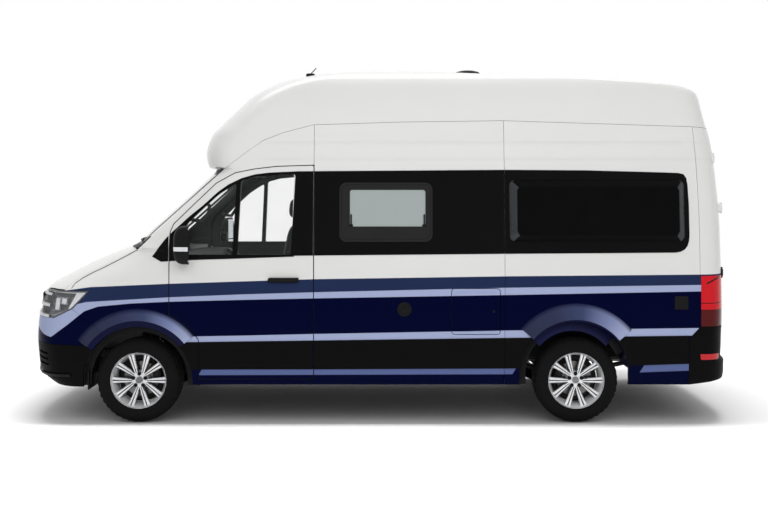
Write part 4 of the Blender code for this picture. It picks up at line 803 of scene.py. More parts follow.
bandTop = [(1.879, 1.384), (1.768, 1.526), (1.71, 1.586), (1.559, 1.724), (1.454, 1.808), (1.334, 1.919),
           (1.245, 1.982), (1.14, 2.033), (1.028, 2.065), (0.907, 2.08), (0.668, 2.091), (0.404, 2.093),
           (-1.049, 2.103), (-1.724, 2.099), (-2.386, 2.081), (-2.49, 2.077), (-2.534, 2.066),
           (-2.556, 2.035), (-2.564, 1.98), (-2.571, 1.827), (-2.572, 1.56), (-2.567, 1.512), (-2.554, 1.472),
           (-2.53, 1.443), (-2.498, 1.426), (-2.455, 1.418)]
bandLow = [(-1.713, 1.412), (-1.054, 1.408), (0.402, 1.395), (0.707, 1.392), (0.722, 1.384), (1.27, 1.365),
           (1.542, 1.357), (1.8, 1.343)]
mainPane = [(1.17, 1.392), (1.14, 2.012), (1.02, 2.045), (0.84, 2.062), (0.69, 2.066), (0.726, 1.4)]
quarterPane = [(1.628, 1.378), (1.632, 1.56), (1.58, 1.66), (1.455, 1.78), (1.33, 1.895), (1.24, 1.955),
               (1.178, 1.99), (1.21, 1.386)]


def makeBand():
    band = bandTop + bandLow
    bandLift = 0.0035
    for name, way, low, high in sides(0.7, 1.3):
        rest = oblong(0.5325, -2.9, 1.2, 2.3)
        if way == 1:
            cuts = [sideSeam, roundRect(0.26, -0.4, 1.6, 1.95, 0.05)]
        else:
            cuts = [sideSeam, roundRect(0.18, -0.49, 1.58, 1.93, 0.05), oblong(0.455, 0.459, 1.2, 2.124),
                    oblong(-0.803, -0.807, 1.2, 2.124)]
        panel(f"sideBand_{name}", (-2.7, low, 1.3), (2.0, high, 2.15), 0.004, [band, rest], cuts, glossBlack,
              lift=bandLift)
    room = ((-2.7, 0.7, 1.3), (2.0, 1.3, 2.15))
    panel("doorBand_left", *room, 0.004, [band, grown(outlines["door"], -0.0005)],
          [(mainPane, 0.02), (quarterPane, 0.02)], glossBlack, "cab_door_left", lift=bandLift)
    panel("bandTip_left", *room, 0.004, [band, oblong(1.738, 2.2, 1.2, 1.7)], [], glossBlack, lift=bandLift)
    both = joined(*[prism(grown(pane, 0.006), "Y", 0.7, 1.3) for pane in (mainPane, quarterPane)])
    panel("doorGlass_left", *room, 0.004, [both], [], clearGlass, "cab_door_left", ("cab_door_glass_left",),
          lift=-0.002)


def ringSheet(centre, profile, start, end, steps):
    bm = bmesh.new()
    bmesh.ops.create_grid(bm, x_segments=steps, y_segments=len(profile) - 1, size=1.0)
    for vert in bm.verts:
        angle = math.radians(start + (end - start) * (vert.co.x + 1) / 2)
        radius, lift = profile[round((vert.co.y + 1) / 2 * (len(profile) - 1))]
        x = centre[0] + radius * math.cos(angle)
        z = centre[1] + radius * math.sin(angle)
        vert.co = (x, sideY(x, z) + lift, z)
    bmesh.ops.solidify(bm, geom=bm.faces[:], thickness=0.004)
    bmesh.ops.recalc_face_normals(bm, faces=bm.faces)
    return bm


flares = {
    "front": {"centre": (1.995, 0.355), "spans": ((35.0, 52.8), (53.2, 141.0)),
              "profile": ((0.452, -0.03), (0.456, 0.004), (0.47, 0.008), (0.498, 0.011), (0.504, 0.016),
                          (0.53, 0.015), (0.56, 0.012), (0.585, 0.007), (0.598, 0.003), (0.603, -0.002))},
    "rear": {"centre": (-1.63, 0.402), "spans": ((41.0, 140.5),),
             "profile": ((0.446, -0.03), (0.452, 0.006), (0.46, 0.012), (0.472, 0.016), (0.5, 0.015),
                         (0.53, 0.012), (0.56, 0.009), (0.585, 0.005), (0.594, 0.002), (0.6, -0.002))},
}


def makeFlareShadedPaint():
    material, tree, shader, place = newMaterial("flarePaint", Roughness=0.32, **{
        "Coat Weight": 0.05, "Coat Roughness": 0.05, "Specular IOR Level": 0.05})
    axes = addNode(tree, "ShaderNodeSeparateXYZ", {0: place}).outputs
    front = math2(tree, "GREATER_THAN", axes[0], 0.0)
    middle = spread(tree, front, 0.0, 1.0, flares["rear"]["centre"][0], flares["front"]["centre"][0])
    level = spread(tree, front, 0.0, 1.0, flares["rear"]["centre"][1], flares["front"]["centre"][1])
    along = math2(tree, "SUBTRACT", axes[0], middle)
    up = math2(tree, "SUBTRACT", axes[2], level)
    angle = math2(tree, "ARCTAN2", up, along)
    reach = math2(tree, "POWER", math2(tree, "ADD", math2(tree, "MULTIPLY", along, along),
                                       math2(tree, "MULTIPLY", up, up)), 0.5)
    flake = noise(tree, place, 900.0, 1.0)
    edge = spread(tree, front, 0.0, 1.0, 0.462, 0.501)
    # painted light and shade round each flare, by angle: darkest at its front end, lightest at its rear end, as
    # light falling from the rear
    ramp = addNode(tree, "ShaderNodeValToRGB", {0: spread(tree, angle, 0.55, 2.5)})
    spots = ramp.color_ramp.elements
    spots[0].color = tone(8, 14, 50)
    spots[1].color = tone(165, 174, 206)
    for where, colour in ((0.35, tone(18, 28, 66)), (0.58, tone(42, 54, 94)), (0.8, tone(118, 128, 170))):
        spots.new(where).color = colour
    navy = mixColour(tree, spread(tree, flake, 0.42, 0.68), tone(0, 3, 40), tone(5, 10, 58))
    lit = mixColour(tree, spread(tree, flake, 0.3, 0.7, 0.0, 0.08), ramp.outputs[0], tone(200, 206, 226))
    # the painted light and shade covers the ring from its inner edge out to the flare's outer edge, where it
    # fades into the navy
    shade = math2(tree, "MULTIPLY", spread(tree, reach, 0.6, 0.56),
                  spread(tree, math2(tree, "SUBTRACT", reach, edge), -0.001, 0.001))
    link(tree, mixColour(tree, shade, navy, lit), shader, "Base Color")
    link(tree, bump(tree, noise(tree, place, 160.0, 2.0), 0.02, 0.002), shader, "Normal")
    return material


flarePaint = makeFlareShadedPaint()


def makeFlares():
    for end, values in flares.items():
        for number, (start, stop) in enumerate(values["spans"]):
            bm = ringSheet(values["centre"], values["profile"], start, stop, 60)
            piece(f"flare_{end}{number}_left", bm, flarePaint, crease=40.0)


# Ride, outline, and whether the wheel arches cut it
claddingParts = {
    "foot": ("body_shell", [(1.492, 0.452), (1.492, 0.679), (1.6, 0.677), (1.7, 0.62), (1.7, 0.452)], True),
    "door": ("cab_door_*", [(0.5445, 0.452), (0.5445, 0.691), (1.146, 0.683), (1.481, 0.679), (1.481, 0.452)],
             False),
    "middle": ("body_shell", [(0.529, 0.452), (0.529, 0.691), (-1.087, 0.713), (-1.3, 0.716), (-1.3, 0.46)],
               True),
    "rear": ("body_shell", [(-1.95, 0.478), (-1.95, 0.722), (-2.1, 0.724), (-2.563, 0.731), (-2.563, 0.499)],
             True),
}


def makeCladding():
    for side, way, low, high in sides(0.7, 1.3):
        for name, (ride, points, arched) in claddingParts.items():
            take = [arch(wheels[key], 0.452, low, high) for key in ("frontArch", "rearArch") if arched]
            if name == "middle":
                take.append(sideSeam)
                if way == -1:
                    take += [oblong(0.451, 0.459, 0.3, 0.9), oblong(-0.799, -0.807, 0.3, 0.9)]
            panel(f"cladding_{name}_{side}", (-2.7, low, 0.42), (1.8, high, 0.76), 0.008, [points], take,
                  cladding, ride.replace("*", side), lift=0.006)


def makePods():
    outer = (-1.084, -2.532, 1.511, 2.019)
    inner = (-1.132, -2.49, 1.556, 1.972)
    rings = [(*outer, 0.05, -0.01), (*outer, 0.05, 0.01), (-1.088, -2.528, 1.515, 2.015, 0.048, 0.016),
             (*inner, 0.042, 0.052), (-1.137, -2.485, 1.561, 1.967, 0.04, 0.056),
             (-1.143, -2.479, 1.567, 1.961, 0.036, 0.052)]
    bm = stack(rings)
    bm.normal_update()
    # painted highlight: the chamfers that face fore and aft take a lighter grey than the rest of the black pod
    for face in bm.faces:
        face.material_index = int(abs(face.normal.x) > 0.25)
    piece("bedPod_left", bm, [podBlack, podEdge], stands=("bed_pod_left",))


podBlack = makePlastic("podPlastic", tone(7, 7, 8), 0.1, 0.34, 420.0, 0.04)
# lighter grey for the pod's fore and aft chamfers, a painted highlight
podEdge = makePlastic("podEdge", tone(46, 49, 52), 0.1, 0.3, 420.0, 0.3)
frameBlack = makePlastic("windowFrame", tone(17, 17, 18), 0.12, 0.4, 420.0, 0.25)


def makeHingedWindow(name, front, back, node, way):
    bottom, top = 1.508, 1.997
    rings = [(front, back, bottom, top, 0.06, 0.0), (front, back, bottom, top, 0.06, 0.012),
             (front - 0.005, back + 0.005, bottom + 0.005, top - 0.005, 0.056, 0.016),
             (front - 0.016, back + 0.016, bottom + 0.02, top - 0.016, 0.05, 0.016),
             (front - 0.018, back + 0.018, bottom + 0.022, top - 0.018, 0.048, 0.012),
             (front - 0.088, back + 0.059, 1.634, 1.936, 0.02, 0.012),
             (front - 0.088, back + 0.059, 1.634, 1.936, 0.02, 0.0)]
    piece(f"{name}Frame", stack(rings, way, cap=False), frameBlack, stands=(node,))
    pane = [(front - 0.08, back + 0.051, 1.626, 1.944, 0.022, 0.002),
            (front - 0.08, back + 0.051, 1.626, 1.944, 0.022, 0.009)]
    piece(f"{name}Pane", stack(pane, way), paleGlass)
    for number, x in enumerate((front - 0.098, back + 0.069)):
        y, foot = sideY(x, 1.68), sideY(x, 1.65)
        hook = joined(block((x - 0.006, way * (y + 0.01), 1.64), (x + 0.006, way * (y + 0.02), 1.735), 0.003),
                      block((x - 0.016, way * (foot + 0.01), 1.636), (x + 0.016, way * (foot + 0.022), 1.652),
                            0.003))
        piece(f"{name}Stay_{number}", hook, trimBlack)


def cupRings(x, z):
    steps = ((0.062, 0.0015), (0.06, 0.003), (0.054, 0.0015), (0.04, 0.0008))
    return [(x, z, radius, lift) for radius, lift in steps]


def makeDoorHandles():
    body = "cab_door_left"
    piece("handleCup_left", stack(cupRings(0.793, 1.2)), bodyPaint, body)
    bar = [(0.659, 0.912, 1.176, 1.211, 0.014, 0.004), (0.657, 0.914, 1.173, 1.213, 0.017, 0.022),
           (0.664, 0.907, 1.178, 1.208, 0.014, 0.031)]
    piece("handleBar_left", stack(bar), trimBlack, body, crease=50.0)


def makeSideFittings():
    ring = [(-0.214, 0.95, 0.06, 0.0), (-0.214, 0.95, 0.06, 0.006), (-0.214, 0.95, 0.056, 0.01),
            (-0.214, 0.95, 0.045, 0.01), (-0.214, 0.95, 0.043, 0.007), (-0.214, 0.95, 0.02, 0.008),
            (-0.214, 0.95, 0.018, 0.013)]
    piece("powerSocketCap", stack(ring), trimBlack)
    rings = [(-2.445, -2.556, 0.95, 1.059, 0.008, 0.0), (-2.445, -2.556, 0.95, 1.059, 0.008, 0.005),
             (-2.449, -2.552, 0.954, 1.055, 0.007, 0.008), (-2.456, -2.545, 0.961, 1.048, 0.006, 0.008),
             (-2.459, -2.542, 0.964, 1.045, 0.005, 0.005)]
    piece("waterInletFlap", stack(rings), trimBlack)
    frameRings = [(-0.628, -0.981, 0.768, 1.096, 0.022, 0.0005), (-0.628, -0.981, 0.768, 1.096, 0.022, 0.003),
                  (-0.634, -0.975, 0.774, 1.09, 0.018, 0.003), (-0.634, -0.975, 0.774, 1.09, 0.018, 0.0005)]
    piece("hatchBead", stack(frameRings, cap=False), bodyPaint, "service_hatch")
    lock = [(-0.952, 0.932, 0.011, 16, 0.0), (-0.952, 0.932, 0.01, 16, 0.004)]
    piece("hatchLock", stack(lock), trimBlack, "service_hatch")


def makeWindowSeals():
    room = ((0.4, 0.6, 0.3), (1.9, 1.3, 2.25))
    for name, pane in (("main", mainPane), ("quarter", quarterPane)):
        panel(f"doorSeal_{name}_left", *room, 0.034, [grown(pane, 0.014)], [(grown(pane, 0.001), 0.02)],
              frameBlack, "cab_door_left", lift=-0.006)
    sill = [(1.665, 1.366), (1.665, 1.402), (0.7, 1.402), (0.7, 1.384)]
    panel("doorSill_left", *room, 0.003, [sill], [], glossBlack, "cab_door_left", lift=0.0037)
    door = outlines["door"]
    panel("doorJamb_left", *room, 0.01, [grown(door, 0.03)], [grown(door, 0.002)], linerBlack, lift=-0.024)
    panel("doorGapSeal_left", *room, 0.01, [grown(door, 0.0095)], [grown(door, 0.0025)], linerBlack,
          lift=-0.006)


def wheelhouseRing(centre, middle, half, radius, width):
    bm = bmesh.new()
    bmesh.ops.create_grid(bm, x_segments=36, y_segments=3, size=1.0)
    for vert in bm.verts:
        angle = math.radians(middle + half * vert.co.x)
        reach = radius + width * vert.co.y
        vert.co = (centre[0] + reach * math.cos(angle), 0.915 - 0.012 * vert.co.y,
                   centre[1] + reach * math.sin(angle))
    bmesh.ops.solidify(bm, geom=bm.faces[:], thickness=0.004)
    bmesh.ops.recalc_face_normals(bm, faces=bm.faces)
    return bm


def makeWheelhouseFaces():
    for end, middle, half, radius, width, finishName in (
            ("rear", 90, 50, 0.411, 0.052, archNavy), ("rear", 14, 26, 0.43, 0.036, linerBlack),
            ("rear", 148, 9, 0.43, 0.036, linerBlack), ("front", 90, 96, 0.452, 0.05, linerBlack)):
        ring = wheelhouseRing(wheels[f"{end}Arch"], middle, half, radius, width)
        piece(f"wheelhouse_{end}{middle}_left", ring, finishName, crease=60.0)


archNavy = makePlastic("archNavy", tone(4, 10, 58), 0.1, 0.5, 300.0, 0.2)
makeBand()
makeWindowSeals()
makeWheelhouseFaces()
makeFlares()
makeCladding()
makePods()
makeHingedWindow("sideWindow", 0.325, -0.447, "side_window", 1)
makeHingedWindow("sliderWindow", 0.251, -0.559, "sliding_door_window", -1)
makeDoorHandles()
makeSideFittings()
print("side details made:", len(pieces))

# Wheels

wheelSpec = {
    "tyre": ((-0.098, 0.226), (-0.106, 0.236), (-0.114, 0.258), (-0.1172, 0.282), (-0.115, 0.304),
             (-0.1085, 0.322), (-0.1, 0.335), (-0.09, 0.3425), (-0.078, 0.3462), (-0.0735, 0.3465),
             (-0.0715, 0.3395), (-0.0635, 0.3395), (-0.0615, 0.3475), (-0.03, 0.3495), (-0.0275, 0.342),
             (-0.019, 0.342), (-0.0165, 0.3498)),
    "rim": ((-0.098, 0.234), (-0.102, 0.2355), (-0.1025, 0.2325), (-0.096, 0.2275), (-0.086, 0.224),
            (-0.076, 0.208), (-0.05, 0.202), (0.03, 0.202), (0.056, 0.212), (0.076, 0.218),
            (0.093, 0.224), (0.0985, 0.2275), (0.1025, 0.23), (0.1025, 0.2355), (0.098, 0.236),
            (0.093, 0.229), (0.07, 0.223), (0.054, 0.217), (0.03, 0.207), (-0.05, 0.207),
            (-0.078, 0.213), (-0.09, 0.229)),
    "spokes": ((0.04, 0.12, 0.0165, 0.061), (0.07, 0.225, 0.0168, 0.063), (0.1, 0.262, 0.0178, 0.065),
               (0.15, 0.29, 0.0205, 0.0705), (0.19, 0.305, 0.0235, 0.076), (0.218, 0.314, 0.027, 0.08)),
    "steps": 96,
}
tyreRubber = makeFinish("tyreRubber", tone(12, 12, 13), tone(20, 20, 21), (14.0, 5.0), (0.35, 0.7),
                        (0.72, 0.9), ("cells", 260.0, 0.18, 0.001), **{"Specular IOR Level": 0.1})
alloyLook = {"Metallic": 0.35, "Roughness": 0.3, "Coat Weight": 0.3}
alloyMottle = ((5.0, 2.0), (0.35, 0.65), None, (1.0, 900.0, 0.03, 0.0004))
# a darker copy of the alloy: painted shade on the spoke flanks and groove, and the hub cap's own grey
alloyShade = makeFinish("alloyShade", tone(96, 98, 102), tone(120, 122, 126), *alloyMottle, **alloyLook)
alloyFace = makeFinish("alloyFace", tone(222, 223, 225), tone(236, 237, 239), *alloyMottle, **alloyLook)
discSteel = makeMetal("discSteel", tone(112, 110, 108), 0.3, 0.1)
castIron = makeMetal("castIron", tone(52, 50, 49), 0.6, 0.3)


def tyreMesh(place, way):
    half = list(wheelSpec["tyre"])
    profile = half + [(-along, radius) for along, radius in reversed(half)]
    profile += [(0.098, 0.226), (0.06, 0.2365), (0.0, 0.2365), (-0.06, 0.2365), (-0.098, 0.226)]
    bm = turned([(along, radius) for along, radius in profile[:-1]] + [profile[0]], (0, 0, 0), (0, 0, 1), 120)
    for vert in bm.verts:
        radius = math.hypot(vert.co.x, vert.co.y)
        turn = math.atan2(vert.co.y, vert.co.x) / math.tau * 120
        outer = abs(vert.co.z) > 0.0725
        if radius > 0.32 and outer and round(turn + (60 if vert.co.z > 0 else 61)) % 3 == 0:
            shrink = (radius - 0.008) / radius
            vert.co.x *= shrink
            vert.co.y *= shrink
        if 0.3 < radius < 0.3065:
            vert.co.z += math.copysign(0.0012, vert.co.z)
    turn = Vector((0, way, 0)).to_track_quat('Z', 'Y').to_matrix().to_4x4()
    bmesh.ops.transform(bm, verts=bm.verts, matrix=Matrix.Translation(place) @ turn)
    bmesh.ops.recalc_face_normals(bm, faces=bm.faces)
    return bm


def spokeMesh(pairAngle, side, place, way):
    rings = []
    for radius, aside, half, face in wheelSpec["spokes"]:
        angle = pairAngle + side * aside
        out = Vector((math.sin(angle), math.cos(angle)))
        across = Vector((out.y, -out.x))
        deep = face - 0.028 + 0.01 * (radius > 0.2)
        ring = []
        for share, level in ((-1.0, deep), (-1.0, face - 0.007), (-0.72, face), (-0.22, face + 0.002),
                             (0.0, face - 0.01), (0.22, face + 0.002), (0.72, face), (1.0, face - 0.007),
                             (1.0, deep)):
            spot = out * radius + across * half * share
            ring.append((place[0] + spot.x * way, place[1] + way * level, place[2] + spot.y))
        rings.append(ring)
    bm = lofted(rings)
    bm.verts.ensure_lookup_table()
    count = len(rings[0])
    groove = {bm.verts[row * count + number] for row in range(len(rings)) for number in (3, 4, 5)}
    for face in bm.faces:  # the faces outwards are bright; the groove and the flanks take a darker copy of the alloy as painted shade
        outward = face.normal.y * way > 0.6 and not all(vert in groove for vert in face.verts)
        face.material_index = 0 if outward else 1
    return bm


def rimMesh(place, way):
    parts = [turned(list(wheelSpec["rim"]) + [wheelSpec["rim"][0]], place, (0, way, 0), wheelSpec["steps"])]
    hub = [(0.02, 0.0), (0.02, 0.07), (0.052, 0.068), (0.06, 0.062), (0.064, 0.052), (0.064, 0.034),
           (0.06, 0.031), (0.06, 0.0)]
    parts.append(turned(hub, place, (0, way, 0), 60))
    for number in range(5):
        pairAngle = math.radians(36 + 72 * number)
        for side in (-1, 1):
            parts.append(spokeMesh(pairAngle, side, place, way))
    return joined(*parts)


def wheelTrims(place, way):
    cap = turned([(0.06, 0.0265), (0.074, 0.0262), (0.0765, 0.0235), (0.0775, 0.016), (0.078, 0.0)], place,
                 (0, way, 0), 40)
    bolts = []
    for number in range(5):
        angle = math.radians(72 * number)
        spot = (place[0] + 0.053 * math.sin(angle) * way, place[1], place[2] + 0.053 * math.cos(angle))
        bolts.append(turned([(0.06, 0.016), (0.0716, 0.016), (0.0716, 0.0126), (0.069, 0.0112), (0.069, 0.0)],
                            spot, (0, way, 0), 18))
    return cap, joined(*bolts)


def discMesh(place, way):
    profile = [(-0.03, 0.06), (-0.03, 0.145), (-0.022, 0.147), (-0.012, 0.147), (-0.004, 0.145),
               (-0.004, 0.082), (0.016, 0.08), (0.018, 0.06), (-0.03, 0.06)]
    return turned(profile, place, (0, way, 0), 72)


def caliperMesh(place, way, angle):
    rings = []
    for share in range(9):
        turn = math.radians(angle - 34 + 68 * share / 8)
        end = share in (0, 8)
        outline = ((0.104 + 0.006 * end, 0.004), (0.112 + 0.004 * end, 0.02), (0.15, 0.024),
                   (0.172 - 0.006 * end, 0.012), (0.172 - 0.006 * end, -0.04), (0.158, -0.046),
                   (0.1505, -0.034), (0.1505, 0.0))
        rings.append([(place[0] + math.cos(turn) * radius, place[1] + way * level,
                       place[2] + math.sin(turn) * radius) for radius, level in outline])
    return lofted(rings)


def makeWheels():
    for end, x in (("front", wheels["frontX"]), ("rear", wheels["rearX"])):
        for side, way in (("left", 1), ("right", -1)):
            place = (x, way * wheels["y"], wheels["z"])
            body = f"wheel_{end}_{side}"
            piece(f"tyre_{body}", tyreMesh(place, way), tyreRubber, body, (f"tyre_{end}_{side}",),
                  crease=28.0)
            piece(f"rim_{body}", rimMesh(place, way), [alloyFace, alloyShade], body, (f"rim_{end}_{side}",),
                  crease=24.0)
            cap, bolts = wheelTrims(place, way)
            piece(f"hubCap_{body}", cap, alloyShade, body)
            piece(f"bolts_{body}", bolts, trimBlack, body)
            piece(f"disc_{body}", discMesh(place, way), discSteel, body)
            holder = f"knuckle_{side}" if end == "front" else "body_shell"
            shield = turned([(-0.044, 0.062), (-0.04, 0.186), (-0.03, 0.192), (-0.046, 0.192), (-0.05, 0.062),
                             (-0.044, 0.062)], place, (0, way, 0), 60)
            piece(f"dustShield_{body}", shield, castIron, holder)
            piece(f"caliper_{body}", caliperMesh(place, way, 160.0 if end == "front" else 20.0), castIron,
                  holder)


def linerMesh(centre, radius, inner, outer, start, end):
    bm = bmesh.new()
    bmesh.ops.create_grid(bm, x_segments=40, y_segments=4, size=1.0)
    for vert in bm.verts:
        angle = math.radians(start + (end - start) * (vert.co.x + 1) / 2)
        reach = radius + 0.004 * math.cos((vert.co.x + 1) * 40)
        vert.co = (centre[0] + reach * math.cos(angle), inner + (outer - inner) * (vert.co.y + 1) / 2,
                   centre[1] + reach * math.sin(angle))
    bmesh.ops.solidify(bm, geom=bm.faces[:], thickness=0.004)
    bmesh.ops.recalc_face_normals(bm, faces=bm.faces)
    return bm


def makeLiners():
    piece("linerFront_left", linerMesh(wheels["frontArch"], 0.462, 0.5, 0.955, 2, 182), linerBlack)
    piece("linerRear_left", linerMesh(wheels["rearArch"], 0.462, 0.668, 0.96, 12, 174), archNavy)
    # the rear arch lip takes the flares' painted light and shade
    piece("archLip_left", linerMesh(wheels["rearArch"], 0.456, 0.925, 0.975, 12, 168), flarePaint)


makeWheels()
makeLiners()
print("wheels made:", len(pieces))

# Nose, lamps, mirrors and wipers

def frontX(y, z):
    half, front, curve, _, _ = skinRow(z)
    return front - curve + curve * bulge(min(abs(y) / half, 1.0), skin["frontPower"])


def rounded(low, high, power=4.0, cuts=7):
    low, high = Vector(low), Vector(high)
    bm = bmesh.new()
    bmesh.ops.create_cube(bm, size=2.0)
    bmesh.ops.subdivide_edges(bm, edges=bm.edges[:], cuts=cuts, use_grid_fill=True)
    for vert in bm.verts:
        reach = sum(abs(value) ** power for value in vert.co) ** (1 / power)
        vert.co = (low + high) / 2 + Vector([value / reach * (b - a) / 2 for value, a,
                                             b in zip(vert.co, low, high)])
    bmesh.ops.recalc_face_normals(bm, faces=bm.faces)
    return bm


def rodAlong(points, radius, sides=10):
    spots = [Vector(point) for point in points]
    rings = []
    for number, spot in enumerate(spots):
        before, after = spots[max(number - 1, 0)], spots[min(number + 1, len(spots) - 1)]
        turn = (after - before).to_track_quat('Z', 'Y').to_matrix()
        angles = [step * math.tau / sides for step in range(sides)]
        rings.append([spot + turn @ Vector((radius * math.cos(a), radius * math.sin(a), 0)) for a in angles])
    return lofted(rings)


lampReflector = makeFinish("lampReflector", tone(92, 94, 97), tone(150, 152, 155), (22.0, 2.0), None,
                           (0.18, 0.32), ("cells", 120.0, 0.25, 0.002), Metallic=0.9)
lampWhite = makeFinish("lampWhite", tone(212, 216, 220), tone(240, 242, 244), (60.0, 2.0), None, None,
                       ("bands", 60.0, 0.2, 0.001), Roughness=0.12)
lampDark = makePlastic("lampHousing", tone(26, 27, 29), 0.1, 0.35)
lensGlass = makeGlass("lensGlass", tone(206, 210, 214), 0.07, 0.1)

lampPieces = {
    "drl": [(2.404, 1.092), (2.492, 1.092), (2.566, 0.95), (2.536, 0.944)],
    "strip": [(2.5, 1.092), (2.496, 1.078), (2.76, 1.078), (2.768, 1.092)],
    "blocks": (oblong(2.69, 2.65, 1.032, 0.944),
               oblong(2.63, 2.588, 1.032, 0.992)),
    "base": [(2.56, 0.93), (2.69, 0.888), (2.8, 0.884), (2.8, 0.9), (2.7, 0.904), (2.572, 0.944)],
}


def makeHeadlamps():
    outline = outlines["lamp"]
    rows = [("lampBack", 0.02, outline, [], lampDark, ("headlamp_left",), -0.052),
            ("lampRim", 0.05, grown(outline, -0.001), [grown(outline, -0.012)], lampDark, (), -0.004),
            ("lampLens", 0.003, grown(outline, -0.002), [], lensGlass, (), 0.0),
            ("lamp_drl", 0.012, lampPieces["drl"], [], lampWhite, (), -0.008),
            ("lamp_strip", 0.012, lampPieces["strip"], [], lampWhite, (), -0.008),
            ("lamp_base", 0.012, lampPieces["base"], [], lampReflector, (), -0.014)]
    for number, points in enumerate(lampPieces["blocks"]):
        rows += [(f"lampBlock{number}", 0.014, (points, 0.006), [], lampWhite, (), -0.018),
                 (f"lampFrame{number}", 0.014, (grown(points, 0.01), 0.01), [], lampReflector, (), -0.028)]
    for name, wall, shape, take, material, stands, lift in rows:
        panel(f"{name}_left", (2.3, 0.7, 0.85), (3.1, 1.2, 1.12), wall, [shape], take, material,
              stands=stands, lift=lift)


grilleMetal = makeMetal("grilleMetal", tone(200, 202, 204), 0.4)


def makeGrille():
    room = ((2.5, -0.72, 0.8), (3.1, 0.72, 1.09))
    shape = [(-0.697, 0.874), (-0.5, 0.874), (-0.5, 0.822), (0.5, 0.822), (0.5, 0.874), (0.697, 0.874),
             (0.697, 1.075), (-0.697, 1.075)]
    panel("grilleEnds", (2.5, -0.9, 0.8), (3.1, 0.9, 1.09), 0.012,
          [prism(oblong(-0.8, 0.8, 0.88, 1.075), "X", 2.803, 3.1)],
          [block((2.5, -0.69, 0.8), (3.1, 0.69, 1.1))], trimBlack, lift=-0.01)
    panel("grilleBack", *room, 0.012, [prism(shape, "X", 2.5, 3.1)], [], trimBlack, stands=("grille",),
          lift=-0.028)
    for number, (low, high, lift) in enumerate(((1.052, 1.066, 0.003), (0.964, 0.987, 0.004),
                                                (0.878, 0.901, 0.004))):
        panel(f"grilleBar_{number}", (2.5, -1.0, 0.8), (3.1, 1.0, 1.09), 0.022,
              [prism(oblong(-0.97, 0.97, low, high), "X", 2.742, 3.1, 0.004)], [], grilleMetal, lift=lift)
        panel(f"grilleBarBase_{number}", *room, 0.012,
              [prism(oblong(-0.69, 0.69, low - 0.008, high + 0.004), "X", 2.5, 3.1)], [], trimBlack,
              lift=-0.01)
    slats = []
    for number in range(23):
        y = -0.66 + 0.06 * number
        x = frontX(y, 0.95)
        slats.append(block((x - 0.032, y - 0.003, 0.83), (x - 0.012, y + 0.003, 1.05), 0.001))
    piece("grilleSlats", joined(*slats), trimBlack)


def makeBumperTrim():
    room = ((2.2, -1.1, 0.28), (3.1, 1.1, 1.0))
    panel("bumperLip", *room, 0.016, [block((2.55, -1.1, 0.388), (3.2, 1.1, 0.41))], [], trimBlack,
          lift=0.015)
    panel("bumperGrid", *room, 0.004, [block((2.6, -0.6, 0.44), (3.1, 0.6, 0.6))], [], makeMesh("bumperMesh"),
          lift=-0.022)
    panel("bumperVentBack_left", *room, 0.004, [prism(oblong(2.72, 2.96, 0.455, 0.625), "Y", 0.55, 1.1)], [],
          trimBlack, lift=-0.024)
    piece("wheelFlapFront_left", block((2.41, 0.66, 0.272), (2.422, 0.955, 0.43), 0.003), trimBlack)
    # painted shade: black plates inboard of the front wheel, before and behind it, so that the view under the
    # body stays dark
    shadePlates = joined(block((2.36, 0.44, 0.335), (2.53, 0.45, 0.5), 0.003),
                    block((1.61, 0.44, 0.31), (1.78, 0.45, 0.46), 0.003))
    piece("splashGuard_left", shadePlates, linerBlack)
    lamp = turned([(0.0, 0.0), (0.006, 0.03), (0.012, 0.034), (0.012, 0.042), (-0.02, 0.042)],
                  (frontX(0.8, 0.44) - 0.012, 0.8, 0.44), (0.8, 0.6, 0.0), 32)
    piece("fogLamp_left", lamp, lampReflector)
    piece("plateFront", block((2.972, -0.26, 0.61), (2.9795, 0.26, 0.72), 0.002), plateWhite)


def makeMesh(name):
    material, tree, shader, place = newMaterial(name, Roughness=0.6)
    edge = spread(tree, cells(tree, place, 70.0, feature="DISTANCE_TO_EDGE"), 0.1, 0.14)
    link(tree, mixColour(tree, edge, tone(30, 31, 32), tone(3, 3, 3)), shader, "Base Color")
    link(tree, bump(tree, edge, 0.8, 0.004), shader, "Normal")
    return material


plateWhite = makeFinish("plateFinish", tone(214, 214, 210), tone(226, 226, 223), (30.0, 2.0), None, None,
                        ("cloud", 0.0, 0.05, 0.002), Roughness=0.35)


